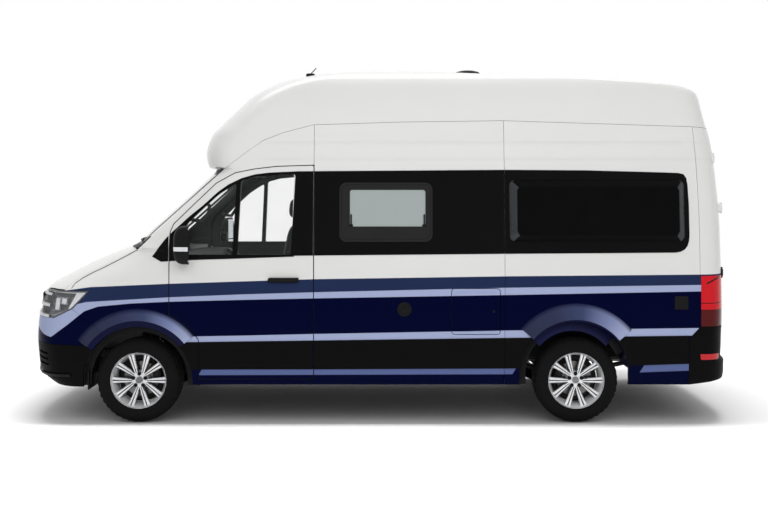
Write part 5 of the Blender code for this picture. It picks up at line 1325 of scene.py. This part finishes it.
def makeMirrors():
    body = "cab_door_left"
    shell = rounded((1.44, 1.052, 1.33), (1.667, 1.2125, 1.645), 3.4, 11)
    for vert in shell.verts:
        lean = (vert.co.z - 1.49) / 0.155
        vert.co.x = min(vert.co.x - 0.01 * max(lean, 0.0) ** 3, 1.667)
    slant = [(1.4, 1.02), (1.4, 1.24), (1.521, 1.24), (1.573, 1.02)]
    hollow = [(1.42, 1.064), (1.42, 1.2), (1.541, 1.2), (1.573, 1.064)]
    cuts = [prism(slant, "Z", 1.3, 1.7), prism(hollow, "Z", 1.35, 1.626, 0.004)]
    shell = carve(meshObject("mirrorShell_left", shell), (), cuts)
    finish(shell, trimBlack, body, ("mirror_left",), 40.0)
    glass = [(1.5655, 1.07), (1.5345, 1.195), (1.5395, 1.195), (1.5705, 1.07)]
    piece("mirrorGlass_left", prism(glass, "Z", 1.428, 1.624), mirrorGlass, body)
    piece("mirrorGlassLow_left", prism(glass, "Z", 1.354, 1.418), mirrorGlass, body)
    strip = meshObject("mirrorStrip_left", rounded((1.44, 1.0512, 1.3292), (1.6674, 1.2133, 1.6458), 3.4, 11))
    carve(strip, [block((1.3, -1.3, 1.44), (1.8, 1.3, 1.474))],
          [prism([(1.4, 1.02), (1.4, 1.24), (1.524, 1.24), (1.64, 1.02)], "Z", 1.3, 1.7)])
    finish(strip, chrome, body)
    root = [(1.6, sideY(1.6, 1.45) + 0.002, 1.445), (1.6, 1.03, 1.452), (1.6, 1.06, 1.456)]
    arm = joined(rounded((1.566, 0.985, 1.405), (1.64, 1.07, 1.5), 4.0, 5), rodAlong(root, 0.018, 14))
    piece("mirrorArm_left", arm, trimBlack, body, crease=45.0)


mirrorGlass = makeMetal("mirrorGlass", tone(205, 210, 214), 0.06, 0.0, 0.95)


def makeCowl():
    panel("cowlPanel", (1.85, -0.95, 1.38), (2.3, 0.95, 1.53), 0.008,
          [prism(oblong(-0.86, 0.86, 1.448, 1.474), "X", 1.8, 2.4)], [], trimBlack, lift=0.004)
    for name, ys, zs in (("near", (0.18, 0.45), (1.47, 1.5)), ("far", (-0.5, -0.22), (1.47, 1.5))):
        arm = []
        for share in (0.0, 0.35, 0.7, 1.0):
            y, z = (low + (high - low) * share for low, high in (ys, zs))
            arm.append((frontX(y, z) + 0.018, y, z))
        blade = []
        for step in range(13):
            y = ys[1] - 0.3 + 0.62 * step / 12
            z = zs[1] + 0.01 * math.sin(step / 12 * math.pi)
            blade.append((frontX(min(y, 0.84), z) + 0.01, y, z))
        hub = turned([(0.0, 0.02), (0.022, 0.02), (0.03, 0.014), (0.03, 0.0)],
                     (frontX(ys[0], zs[0]) - 0.004, ys[0], zs[0]), (0.7, 0.0, 0.7), 20)
        piece(f"wiper_{name}", joined(rodAlong(arm, 0.007), rodAlong(blade, 0.0055), hub), trimBlack,
              crease=50.0)


makeHeadlamps()
makeGrille()
makeBumperTrim()
makeMirrors()
makeCowl()
print("nose made:", len(pieces))

# Rear, roof and right side fittings

def makeTailLens():
    material, tree, shader, place = newMaterial("tailLens", Roughness=0.14,
                                                **{"Coat Weight": 0.06, "Specular IOR Level": 0.15})
    axes = addNode(tree, "ShaderNodeSeparateXYZ", {0: place}).outputs
    ribs = wave(tree, place, 26.0, "Z", 0.4)
    red = mixColour(tree, spread(tree, ribs, 0.1, 0.9, 0.0, 0.35), tone(214, 17, 31), tone(182, 10, 24))
    dark = mixColour(tree, ribs, tone(64, 0, 0), tone(96, 6, 8))
    low = spread(tree, axes[2], 0.944, 0.952)
    line = math2(tree, "MULTIPLY", spread(tree, axes[2], 0.996, 0.999), spread(tree, axes[2], 1.006, 1.003))
    slope = math2(tree, "ADD", axes[2], math2(tree, "MULTIPLY", axes[0], 0.45))
    mark = math2(tree, "MULTIPLY", spread(tree, slope, -0.066, -0.062), spread(tree, slope, -0.048, -0.052))
    mark = math2(tree, "MULTIPLY", mark, spread(tree, axes[0], -2.705, -2.715))
    colour = mixColour(tree, low, dark, red)
    colour = mixColour(tree, math2(tree, "MAXIMUM", line, mark), colour, tone(40, 3, 5))
    link(tree, colour, shader, "Base Color")
    link(tree, bump(tree, ribs, 0.15, 0.002), shader, "Normal")
    return material


tailLens = makeTailLens()
reflectorRed = makeGlass("reflectorRed", tone(206, 18, 28), 0.97, 0.99)


def makeTailLamps():
    room = ((-3.0, 0.84, 0.78), (-2.6, 1.1, 1.25))
    panel("tailLamp_left", *room, 0.014, [block((-3.1, 0.84, 0.8085), (-2.664, 1.1, 1.2265), 0.004)], [],
          tailLens, stands=("tail_lamp_left",), lift=0.003)
    panel("tailLampBack_left", *room, 0.01, [block((-3.1, 0.84, 0.8), (-2.65, 1.1, 1.234))], [], trimBlack,
          lift=-0.018)
    reflector = [(-2.667, 0.531), (-2.834, 0.531), (-2.834, 0.578), (-2.66, 0.578)]
    panel("reflector_left", (-3.0, 0.84, 0.5), (-2.6, 1.1, 0.6), 0.006, [(reflector, 0.004)], [],
          reflectorRed, lift=0.004)


def makeRearGlass():
    body = "rear_door_left"
    room = ((-3.1, 0.0, 1.3), (-2.5, 0.9, 2.2))
    panel("rearGlass_left", *room, 0.005, [prism(grown(rearWindow, 0.018), "X", -3.2, -2.6, 0.05)], [],
          tintedGlass, body, ("rear_door_glass_left",), lift=0.002)
    panel("rearGlassSeal_left", *room, 0.016, [prism(grown(rearWindow, 0.026), "X", -3.2, -2.6, 0.055)],
          [prism(grown(rearWindow, 0.006), "X", -3.3, -2.5, 0.045)], trimBlack, body, lift=0.001)
    panel("rearDoorTrim_left", (-3.1, 0.0, 0.58), (-2.5, 0.9, 2.45), 0.006,
          [block((-3.1, 0.008, 0.612), (-2.6, 0.822, 2.41))],
          [prism(grown(rearWindow, -0.004), "X", -3.3, -2.4, 0.04)], cabinGrey, body, lift=-0.04)
    for number, z in enumerate((1.24, 1.785, 2.2)):
        x = backX(0.835, z) + (0.0 if number == 1 else 0.016)
        arm = joined(rounded((x - 0.03, 0.8, z - 0.038), (x + 0.02, 0.862, z + 0.038), 5.0, 5),
                     upright((x - 0.02, 0.838, z), 0.092, 0.009, 0.002))
        piece(f"rearHinge{number}_left", arm, bodyPaint if z > 1.3 else trimBlack, body, crease=50.0)
    panel("rearSeal", (-3.1, -0.05, 0.58), (-2.5, 0.05, 2.45), 0.006,
          [block((-3.1, -0.028, 0.606), (-2.6, 0.028, 2.42))], [], trimBlack, body, lift=-0.03)


def backX(y, z):
    half, _, _, back, curve = skinRow(z)
    return back + curve - curve * bulge(min(abs(y) / half, 1.0), skin["rearPower"])


def makeRearFittings():
    x = backX(0.38, 0.8)
    piece("plateRear", block((x - 0.008, 0.12, 0.745), (x - 0.002, 0.64, 0.855), 0.002), plateWhite,
          "rear_door_left")
    piece("plateLampRear", rounded((x - 0.03, 0.22, 0.872), (x + 0.004, 0.54, 0.912), 5.0, 7), trimBlack,
          "rear_door_left")
    x = backX(0.07, 1.08)
    handle = joined(rounded((x - 0.014, 0.036, 0.985), (x - 0.002, 0.078, 1.165), 5.0, 7),
                    block((x - 0.008, 0.042, 0.99), (x + 0.004, 0.072, 1.015), 0.003),
                    block((x - 0.008, 0.042, 1.135), (x + 0.004, 0.072, 1.16), 0.003))
    piece("rearDoorHandle", handle, trimBlack, "rear_door_left", crease=50.0)
    panel("rearHandleCup", (-3.1, 0.0, 0.9), (-2.5, 0.2, 1.25), 0.003,
          [prism(oblong(0.024, 0.09, 0.975, 1.175), "X", -3.2, -2.6, 0.02)], [], trimBlack, "rear_door_left",
          lift=0.001)
    panel("highBrakeLamp", (-3.0, -0.3, 2.45), (-2.4, 0.3, 2.6), 0.008,
          [prism(oblong(-0.17, 0.17, 2.5, 2.528), "X", -3.2, -2.4, 0.008)], [], reflectorRed, lift=0.004)
    panel("highBrakeLampBase", (-3.0, -0.3, 2.45), (-2.4, 0.3, 2.6), 0.006,
          [prism(oblong(-0.19, 0.19, 2.488, 2.54), "X", -3.2, -2.4, 0.012)], [], trimBlack, lift=0.002)
    x = backX(0.0, 2.46)
    piece("rearCamera", rounded((x - 0.022, -0.03, 2.442), (x + 0.01, 0.03, 2.482), 4.0, 5), trimBlack)
    tread = [block((-2.962, -0.58, 0.502), (-2.9, 0.58, 0.518), 0.002)]
    for number in range(19):
        y = -0.558 + 0.062 * number
        tread.append(block((-2.958, y - 0.018, 0.517), (-2.91, y + 0.018, 0.522), 0.002))
    piece("rearStepTread", joined(*tread), trimBlack)
    cover = oblong(0.3, 0.4, 0.4, 0.47)
    panel("towEyeCover", (-3.1, 0.2, 0.35), (-2.8, 0.5, 0.52), 0.004, [prism(cover, "X", -3.2, -2.7, 0.01)],
          [], trimBlack, lift=-0.001)


def makeRoofFittings():
    place = (-0.797, 0.25, 2.944)
    profile = [(0.0, 0.138), (0.014, 0.138), (0.018, 0.134), (0.02, 0.128), (0.034, 0.122), (0.052, 0.098),
               (0.062, 0.06), (0.066, 0.022), (0.067, 0.0)]
    piece("roofVentDome", turned(profile, place, (0, 0, 1), 64), podBlack, stands=("roof_vent",))
    foot = rounded((0.56, 0.47, 2.925), (0.64, 0.52, 2.958), 3.0, 5)
    stem = [(0.598, 0.495, 2.95), (0.59, 0.495, 2.962), (0.572, 0.495, 2.98), (0.55, 0.495, 3.003)]
    piece("roofAntenna", joined(foot, rodAlong(stem, 0.0042, 12)), trimBlack, crease=50.0)
    room = ((-2.3, -0.5, 2.85), (-1.5, 0.5, 3.1))
    glass = oblong(-1.66, -2.1, -0.22, 0.22)
    panel("roofSkylight", *room, 0.004, [prism(glass, "Z", 2.8, 3.1, 0.03)], [], paleGlass, lift=0.002)
    panel("roofSkylightFrame", *room, 0.006, [prism(grown(glass, 0.028), "Z", 2.8, 3.1, 0.05)],
          [prism(grown(glass, 0.002), "Z", 2.7, 3.2, 0.03)], trimBlack, lift=0.003)


def makeRightSide():
    rail = [(-0.815, 1.292), (-2.06, 1.3), (-2.06, 1.322), (-0.815, 1.314)]
    panel("sliderRail", (-2.3, -1.3, 1.24), (-0.7, -0.7, 1.36), 0.006, [(rail, 0.004)], [], trimBlack,
          lift=0.003)
    piece("sliderHandleCup", stack(cupRings(0.33, 1.21), -1), trimBlack)
    bar = [(0.196, 0.42, 1.188, 1.222, 0.014, 0.004), (0.194, 0.422, 1.185, 1.225, 0.017, 0.022),
           (0.2, 0.416, 1.19, 1.22, 0.014, 0.031)]
    piece("sliderHandleBar", stack(bar, -1), trimBlack, crease=50.0)
    flap = [(-1.18, -1.46, 0.93, 1.11, 0.01, 0.0), (-1.18, -1.46, 0.93, 1.11, 0.01, 0.006),
            (-1.188, -1.452, 0.938, 1.102, 0.008, 0.009)]
    piece("serviceVent", stack(flap, -1), trimBlack)
    slats = []
    for number in range(7):
        z = 0.948 + 0.0205 * number
        y = sideY(-1.32, z) + 0.009
        slats.append(block((-1.44, -y - 0.004, z), (-1.2, -y, z + 0.01), 0.001))
    piece("serviceVentSlats", joined(*slats), trimBlack)


def makeShutLines():
    line = [(2.03, 1.436), (2.15, 1.372), (2.31, 1.289), (2.4, 1.247), (2.487, 1.2), (2.54, 1.158),
            (2.556, 1.12)]
    strip = line + [(x - 0.003, z - 0.005) for x, z in reversed(line)]
    panel("bonnetShutLine_left", (1.9, 0.5, 1.0), (2.7, 1.2, 1.5), 0.002, [strip], [], trimBlack, lift=0.002)


makeTailLamps()
makeRearGlass()
makeRearFittings()
makeRoofFittings()
makeRightSide()
makeShutLines()
print("rear made:", len(pieces))

# Cabin: linings, dashboard, steering wheel, seats and bed

def makeFabric(name, colour, second, weave=900.0, rib=0.0, ribAxis="X"):
    material, tree, shader, place = newMaterial(name, Roughness=0.92,
                                                **{"Specular IOR Level": 0.2, "Sheen Weight": 0.25})
    cloth = math2(tree, "MULTIPLY", wave(tree, place, weave / 6, "X", 1.2),
                  wave(tree, place, weave / 6, "Z", 1.2))
    cloud = noise(tree, place, 8.0, 4.0)
    colours = mixColour(tree, cloth, second, colour)
    link(tree, mixColour(tree, spread(tree, cloud, 0.3, 0.7, 0.0, 0.25), colours, second), shader,
         "Base Color")
    normal = bump(tree, cloth, 0.35, 0.0008)
    if rib:
        normal = bump(tree, math2(tree, "POWER", wave(tree, place, rib, ribAxis), 0.35), 0.6, 0.006, normal)
    link(tree, normal, shader, "Normal")
    return material


seatCloth = makeFabric("seatCloth", tone(48, 49, 52), tone(28, 29, 31), 900.0, 3.2, "Y")
seatSide = makeFabric("seatSideCloth", tone(34, 35, 37), tone(22, 23, 24), 1100.0)
mattressCloth = makeFabric("mattressCloth", tone(186, 182, 172), tone(160, 156, 147), 600.0, 1.1, "X")
liningFelt = makeFabric("liningFelt", tone(92, 91, 89), tone(76, 75, 73), 1300.0)
floorVinyl = makePlastic("floorVinyl", tone(96, 88, 78), 0.2, 0.55, 140.0)


def padShape(name, bm, cap, voxel, material, stands=()):
    thing = meshObject(name, bm)
    step = thing.modifiers.new("shape", 'REMESH')
    step.mode = 'VOXEL'
    step.voxel_size = voxel
    carve(thing)
    start = [vert.co.copy() for vert in thing.data.vertices]
    cloth = thing.modifiers.new("cloth", 'CLOTH')
    cloth.settings.use_pressure = True
    cloth.settings.uniform_pressure_force = 4.0
    cloth.settings.effector_weights.gravity = 0.0
    cloth.point_cache.frame_start = 1
    cloth.point_cache.frame_end = 20
    for number in range(1, 21):
        bpy.context.scene.frame_set(number)
    carve(thing)
    bpy.context.scene.frame_set(1)
    for vert, old in zip(thing.data.vertices, start):
        move = vert.co - old
        if move.length > cap:
            vert.co = old + move * (cap / move.length)
    smooth = bmesh.new()
    smooth.from_mesh(thing.data)
    for _ in range(2):
        bmesh.ops.smooth_vert(smooth, verts=smooth.verts, factor=0.5, use_axis_x=True, use_axis_y=True,
                              use_axis_z=True)
    smooth.to_mesh(thing.data)
    smooth.free()
    finer = thing.modifiers.new("finer", 'SUBSURF')
    finer.levels = 1
    finer.render_levels = 1
    carve(thing)
    finish(thing, material, "body_shell", stands, 180.0)


def leaned(bm, x, z, degrees):
    there, back = Matrix.Translation((x, 0, z)), Matrix.Translation((-x, 0, -z))
    turn = Matrix.Rotation(math.radians(degrees), 4, 'Y')
    bmesh.ops.transform(bm, verts=bm.verts, matrix=there @ turn @ back)
    return bm


def makeSeats():
    for side, middle in (("left", 0.45), ("right", -0.45)):
        cushion = rounded((0.8, middle - 0.232, 0.985), (1.286, middle + 0.232, 1.105), 5.0, 11)
        for vert in cushion.verts:
            aside = abs(vert.co.y - middle) / 0.232
            if vert.co.z > 1.06:
                vert.co.z += 0.022 * aside ** 3 - 0.012
        padShape(f"seatCushion_{side}", cushion, 0.01, 0.007, seatCloth, (f"seat_{side}",))
        back = rounded((0.748, middle - 0.224, 1.085), (0.868, middle + 0.224, 1.655), 5.0, 11)
        for vert in back.verts:
            aside = abs(vert.co.y - middle) / 0.224
            rise = (vert.co.z - 1.085) / 0.57
            if vert.co.x > 0.81:
                vert.co.x += 0.04 * aside ** 3 * (1 - 0.5 * rise) - 0.01
            vert.co.y = middle + (vert.co.y - middle) * (1 - 0.16 * max(rise - 0.55, 0.0))
        padShape(f"seatBack_{side}", leaned(back, 0.8, 1.085, -10), 0.01, 0.007, seatCloth)
        rest = rounded((0.7, middle - 0.128, 1.692), (0.79, middle + 0.128, 1.856), 3.6, 9)
        padShape(f"seatHeadrest_{side}", leaned(rest, 0.745, 1.7, -6), 0.008, 0.005, seatSide)
    posts = joined(*[rodAlong([(0.712, y, 1.62), (0.73, y, 1.72)], 0.006) for y in (0.395, 0.505)])
    piece("headrestPosts_left", posts, bareSteel)
    base = joined(block((0.79, 0.235, 0.905), (1.25, 0.665, 0.975), 0.012),
                  block((0.79, 0.205, 0.93), (1.18, 0.228, 1.03), 0.01),
                  block((0.79, 0.672, 0.93), (1.18, 0.695, 1.03), 0.01),
                  block((0.83, 0.25, 0.862), (1.23, 0.65, 0.908), 0.004))
    piece("seatBase_left", base, cabinDark, crease=50.0)
    belt = joined(block((0.595, 0.895, 1.86), (0.635, 0.915, 1.96), 0.006),
                  rodAlong([(0.615, 0.902, 1.88), (0.618, 0.905, 1.3), (0.625, 0.89, 0.7)], 0.01, 8))
    piece("seatBelt_left", belt, cabinDark)


def makeDashboard():
    profile = [(1.895, 1.33), (1.8, 1.352), (1.62, 1.362), (1.5, 1.35), (1.42, 1.318), (1.372, 1.262),
               (1.352, 1.18), (1.34, 1.08), (1.36, 0.98), (1.42, 0.94), (1.895, 0.94)]
    thing = meshObject("dashboardShell", prism(profile, "Y", -0.785, 0.785))
    carve(thing, (), [block((1.3, -0.621, 1.12), (1.4, -0.281, 1.22), 0.012)])
    finish(thing, cabinDark, "body_shell", ("dashboard",), 20.0)
    hood = rounded((1.33, 0.27, 1.235), (1.56, 0.63, 1.364), 4.0, 7)
    piece("instrumentHood", hood, cabinDark, crease=60.0)
    piece("instrumentFace", block((1.322, 0.31, 1.262), (1.345, 0.59, 1.338), 0.008), glossBlack)
    piece("centreScreen", block((1.322, -0.12, 1.17), (1.352, 0.12, 1.31), 0.008), glossBlack)
    vents = []
    for y in (-0.7, -0.18, 0.18, 0.7):
        vents.append(turned([(0.0, 0.0), (0.0, 0.03), (0.006, 0.036), (0.012, 0.036), (0.012, 0.042),
                             (-0.03, 0.042)], (1.35, y, 1.235), (-1, 0, 0.1), 28))
    piece("dashVents", joined(*vents), trimBlack)
    piece("dashTrimStrip", block((1.33, -0.78, 1.148), (1.352, 0.78, 1.158), 0.002), silverAlloy)
    lever = joined(rounded((1.27, 0.015, 1.02), (1.345, 0.095, 1.12), 4.0, 5),
                   rodAlong([(1.3, 0.055, 1.08), (1.262, 0.055, 1.165)], 0.008),
                   rounded((1.235, 0.032, 1.15), (1.282, 0.078, 1.205), 3.0, 5))
    piece("gearLever", lever, cabinDark, crease=60.0)
    pedals = joined(*[block((1.46, 0.3 + 0.12 * k, 0.66), (1.475, 0.36 + 0.12 * k, 0.73), 0.003)
                      for k in range(3)])
    piece("pedals", pedals, bareSteel)
    grip = [(1.59, 0.85, 1.69), (1.555, 0.8, 1.678), (1.49, 0.795, 1.672), (1.437, 0.795, 1.752),
            (1.434, 0.8, 1.8), (1.452, 0.85, 1.835)]
    piece("pillarGrip_left", rodAlong(grip, 0.016, 14), cabinDark, crease=60.0)
    mirror = joined(rounded((1.37, -0.115, 1.93), (1.4, 0.115, 1.995), 4.0, 5),
                    rodAlong([(1.385, 0, 1.98), (1.36, 0, 2.04)], 0.006))
    piece("cabinMirror", mirror, cabinDark)
    visors = joined(*[block((1.12, 0.2 * way, 2.055), (1.27, 0.62 * way, 2.072), 0.006) for way in (1, -1)])
    piece("sunVisors", visors, liningFelt)


def makeSteeringWheel():
    centre = Vector((1.235, 0.45, 1.27))
    axis = Vector((-math.cos(math.radians(40)), 0.0, math.sin(math.radians(40))))
    ring = [(0.0165 * math.sin(a * math.tau / 16), 0.1865 + 0.0165 * math.cos(a * math.tau / 16))
            for a in range(17)]
    bm = turned(ring, centre, axis, 72)
    piece("steeringRim", bm, cabinDark, "steering_wheel", ("steering_wheel",), 60.0)
    turn = axis.to_track_quat('Z', 'Y').to_matrix()
    parts = []
    for angle in (0.0, math.pi, -math.pi / 2):
        out = turn @ Vector((math.cos(angle), math.sin(angle), 0))
        points = [centre + out * 0.03 - axis * 0.012, centre + out * 0.1 - axis * 0.01, centre + out * 0.183]
        parts.append(rodAlong(points, 0.0125, 12))
    parts.append(turned([(-0.06, 0.0), (-0.06, 0.03), (-0.03, 0.058), (-0.008, 0.066), (0.006, 0.06),
                         (0.012, 0.03), (0.013, 0.0)], centre, axis, 40))
    piece("steeringHub", joined(*parts), cabinGrey, "steering_wheel", crease=60.0)


def makeLinings():
    lining = [(0.528, 0.545), (0.528, 2.13), (0.54, 2.4), (0.53, 2.49), (-0.18, 2.512), (-1.04, 2.524),
              (-2.62, 2.474), (-2.64, 0.545)]
    windows = {"left": roundRect(0.24, -0.39, 1.59, 1.94, 0.04),
               "right": roundRect(0.17, -0.47, 1.59, 1.92, 0.04)}
    pillar = [(2.026, 1.431), (1.752, 1.4), (1.74, 1.6), (1.52, 1.865), (1.2, 2.095), (1.04, 2.125),
              (1.04, 2.15), (1.26, 2.14), (1.291, 2.112)]
    for side, way, low, high in sides(0.5, 1.2):
        panel(f"sideLining_{side}", (-2.8, low, 0.5), (0.7, high, 2.56), 0.006, [lining],
              [windows[side], roundRect(-1.1, -2.52, 1.525, 2.005, 0.03),
               arch(wheels["rearArch"], 0.475, low, high)], liningFelt, lift=-0.052)
        panel(f"pillarTrim_{side}", (0.9, low, 1.3), (2.2, high, 2.2), 0.01, [pillar],
              [block((0.9, -0.8, 1.3), (2.2, 0.8, 2.3))], cabinDark, lift=-0.014)
    door = "cab_door_left"
    panel("doorTrim_left", (0.5, 0.5, 0.36), (1.8, 1.2, 2.16), 0.012, [grown(outlines["door"], -0.02)],
          [(grown(doorWindow, 0.004), 0.02)], cabinDark, door, lift=-0.036)
    pocket = [(0.62, 1.36, 0.42, 0.6, 0.03, -0.046), (0.62, 1.36, 0.42, 0.6, 0.03, -0.098),
              (0.64, 1.34, 0.44, 0.58, 0.025, -0.104)]
    piece("doorPocket_left", stack(pocket, 1), cabinDark, door, crease=50.0)
    rest = [(0.64, 1.2, 1.02, 1.085, 0.02, -0.046), (0.64, 1.2, 1.02, 1.085, 0.02, -0.092),
            (0.66, 1.18, 1.03, 1.075, 0.015, -0.098)]
    piece("doorArmrest_left", stack(rest, 1), cabinDark, door, crease=50.0)
    sill = [(0.66, 1.55, 1.372, 1.392, 0.008, -0.002), (0.66, 1.55, 1.372, 1.392, 0.008, -0.046)]
    piece("doorSillTrim_left", stack(sill, 1), trimBlack, door, crease=50.0)
    roof = [(0.54, 2.5), (1.05, 2.4), (1.36, 2.2), (1.4, 2.9), (0.6, 3.2), (-2.66, 3.2), (-2.66, 2.48),
            (-1.04, 2.532), (-0.18, 2.52)]
    panel("roofLining", (-3.1, -1.2, 2.4), (1.7, 1.2, 3.1), 0.006, [roof], [], liningFelt, lift=-0.05)
    thing = meshObject("floorCover", block((-2.7, -0.93, 0.5405), (0.6, 0.93, 0.5445), 0.001))
    carve(thing, (), [block((-2.14, 0.655 * way, 0.5), (-1.15, way, 0.6)) for way in (1.0, -1.0)])
    finish(thing, floorVinyl, "body_shell")


def makeBed():
    rails = [block((-2.705, -0.915, 0.96), (-1.086, 0.915, 0.996), 0.004)]
    slatGap = 0.108
    for number in range(15):
        x = -2.66 + slatGap * number
        rails.append(block((x, -0.86, 0.997), (x + 0.06, 0.86, 1.006), 0.002))
    for way in (1, -1):
        rails.append(block((-2.705, 0.87 * way, 0.902), (-1.086, 0.9 * way, 1.02), 0.003))
    rails.append(block((-1.11, -0.865, 0.902), (-1.086, 0.865, 1.01), 0.003))
    piece("bedFrame", joined(*rails), furniture, stands=("bed_platform",), crease=40.0)
    for name, low, high, y in (("near", 0.008, 0.905, 0.62), ("far", -0.905, -0.008, -0.62)):
        mattress = rounded((-2.695, low, 1.016), (-1.094, high, 1.142), 9.0, 13)
        padShape(f"mattress_{name}", mattress, 0.006, 0.016, mattressCloth)
        pillow = rounded((-2.655, y - 0.24, 1.14), (-2.31, y + 0.24, 1.25), 3.0, 9)
        padShape(f"pillow_{name}", pillow, 0.012, 0.01, mattressCloth)


makeSeats()
makeDashboard()
makeSteeringWheel()
makeLinings()
makeBed()
makeTwins()
print("cabin made:", len(pieces))


# Finishes for the parts kept as they are

underCoat = makePlastic("underCoat", tone(26, 27, 29), 0.5, 0.8, 90.0, 0.2)
tankPlastic = makePlastic("tankPlastic", tone(20, 20, 21), 0.3, 0.6, 200.0, 0.3)
engineMetal = makeMetal("engineMetal", tone(118, 118, 116), 0.5, 0.3)
exhaustSteel = makeMetal("exhaustSteel", tone(140, 132, 122), 0.42, 0.2)
kept = {"floor_pan": underCoat, "chassis_frame": chassisCoat, "front_subframe": chassisCoat,
        "rear_axle": castIron, "knuckle_left": castIron, "knuckle_right": castIron,
        "engine_block": engineMetal, "exhaust": exhaustSteel, "fuel_tank": tankPlastic, "firewall": underCoat}
for nodeName, finishUsed in kept.items():
    for slot in bpy.data.objects[nodeName].material_slots:
        slot.material = finishUsed


# Floor, light and camera

studio = {"cameraPlace": (-0.045, 9.28, 1.96), "lens": 46.9, "shiftY": -0.0885, "dome": 0.75,
          "white": (1.0, 1.0, 1.0, 1.0)}


# One for the rays that reach a surface straight from the camera, through glass or by way of a shiny surface
def seenRays(tree):
    path = addNode(tree, "ShaderNodeLightPath").outputs
    shown = math2(tree, "MAXIMUM", path["Is Camera Ray"], path["Is Transmission Ray"])
    return math2(tree, "MAXIMUM", shown, path["Is Glossy Ray"])


def makeStage():
    bm = bmesh.new()
    bmesh.ops.create_grid(bm, x_segments=8, y_segments=8, size=40.0)
    floor = meshObject("studioFloor", bm)
    material, tree, shader, place = newMaterial("floorPaint", Roughness=0.9)
    shader.inputs["Specular IOR Level"].default_value = 0.0
    cloud = noise(tree, place, 0.4, 2.0)
    link(tree, mixColour(tree, cloud, (0.54, 0.54, 0.54, 1.0), (0.56, 0.56, 0.56, 1.0)), shader, "Base Color")
    paint = addNode(tree, "ShaderNodeBsdfDiffuse", {"Color": studio["white"]})
    haze = addNode(tree, "ShaderNodeEmission", {"Color": studio["white"], "Strength": 0.01})
    bright = addNode(tree, "ShaderNodeAddShader", {0: paint.outputs[0], 1: haze.outputs[0]})
    glow = addNode(tree, "ShaderNodeEmission", {"Color": studio["white"], "Strength": 1.0})
    away = addNode(tree, "ShaderNodeVectorMath", {0: place, 1: (0.75, 1.3, 0.0)}, operation="MULTIPLY")
    reach = addNode(tree, "ShaderNodeVectorMath", {0: away.outputs[0]}, operation="LENGTH").outputs["Value"]
    far = addNode(tree, "ShaderNodeMixShader", {0: spread(tree, reach, 3.2, 5.2), 1: bright.outputs[0],
                                                2: glow.outputs[0]})
    both = addNode(tree, "ShaderNodeMixShader", {0: seenRays(tree), 1: shader.outputs[0], 2: far.outputs[0]})
    tree.links.new(both.outputs[0], tree.nodes["Material Output"].inputs[0])
    floor.data.materials.append(material)
    return floor


def makeWorld():
    world = bpy.data.worlds.new("studioWorld")
    bpy.context.scene.world = world
    world.use_nodes = True
    tree = world.node_tree
    tree.nodes.clear()
    way = addNode(tree, "ShaderNodeSeparateXYZ",
                  {0: addNode(tree, "ShaderNodeTexCoord").outputs["Generated"]})
    height = spread(tree, way.outputs[2], 0.02, 0.75, 0.05, studio["dome"])
    dome = addNode(tree, "ShaderNodeBackground", {"Color": studio["white"], "Strength": height})
    plain = addNode(tree, "ShaderNodeBackground", {"Color": studio["white"], "Strength": 1.0})
    mix = addNode(tree, "ShaderNodeMixShader", {0: seenRays(tree), 1: dome.outputs[0], 2: plain.outputs[0]})
    out = addNode(tree, "ShaderNodeOutputWorld")
    tree.links.new(mix.outputs[0], out.inputs[0])


def addLamp(name, place, target, size, power, seenInGloss=True):
    lamp = bpy.data.lights.new(name, 'AREA')
    lamp.shape = 'RECTANGLE'
    lamp.size, lamp.size_y = size
    lamp.energy = power
    thing = bpy.data.objects.new(name, lamp)
    bpy.context.scene.collection.objects.link(thing)
    thing.location = place
    thing.rotation_euler = (Vector(target) - Vector(place)).to_track_quat('-Z', 'Y').to_euler()
    thing.visible_glossy = seenInGloss
    return thing


def linkFloor(name, floor, state, lamps):
    group = bpy.data.collections.new(name)
    group.objects.link(floor)
    group.collection_objects[0].light_linking.link_state = state
    for lamp in lamps:
        lamp.light_linking.receiver_collection = group


def makeCamera():
    camera = bpy.data.objects.new("viewCamera", bpy.data.cameras.new("viewCamera"))
    bpy.context.scene.collection.objects.link(camera)
    camera.location = studio["cameraPlace"]
    camera.rotation_euler = (math.pi / 2, 0.0, math.pi)
    camera.data.lens = studio["lens"]
    camera.data.sensor_width = 36.0
    camera.data.shift_y = studio["shiftY"]
    camera.data.clip_end = 300.0
    bpy.context.scene.camera = camera


floor = makeStage()
makeWorld()
addLamp("topLamp", (0.3, -2.0, 8.5), (0.0, -0.3, 0.0), (10.0, 4.0), 250.0)
sides = [addLamp("sideLampLeft", (-0.8, 8.5, 4.8), (0.0, 0.0, 1.2), (9.0, 3.5), 345.0, False)]
sides.append(addLamp("sideLampRight", (0.8, -8.5, 4.8), (0.0, 0.0, 1.2), (9.0, 3.5), 345.0, False))
linkFloor("unlitFloor", floor, 'EXCLUDE', sides)
floorLamp = addLamp("floorLamp", (-0.3, 0.8, 8.5), (-0.3, 0.8, 0.0), (8.0, 1.0), 760.0, False)
linkFloor("litFloor", floor, 'INCLUDE', [floorLamp])
makeCamera()
bpy.context.scene.view_settings.view_transform = 'Standard'

print("pieces made:", len(pieces))
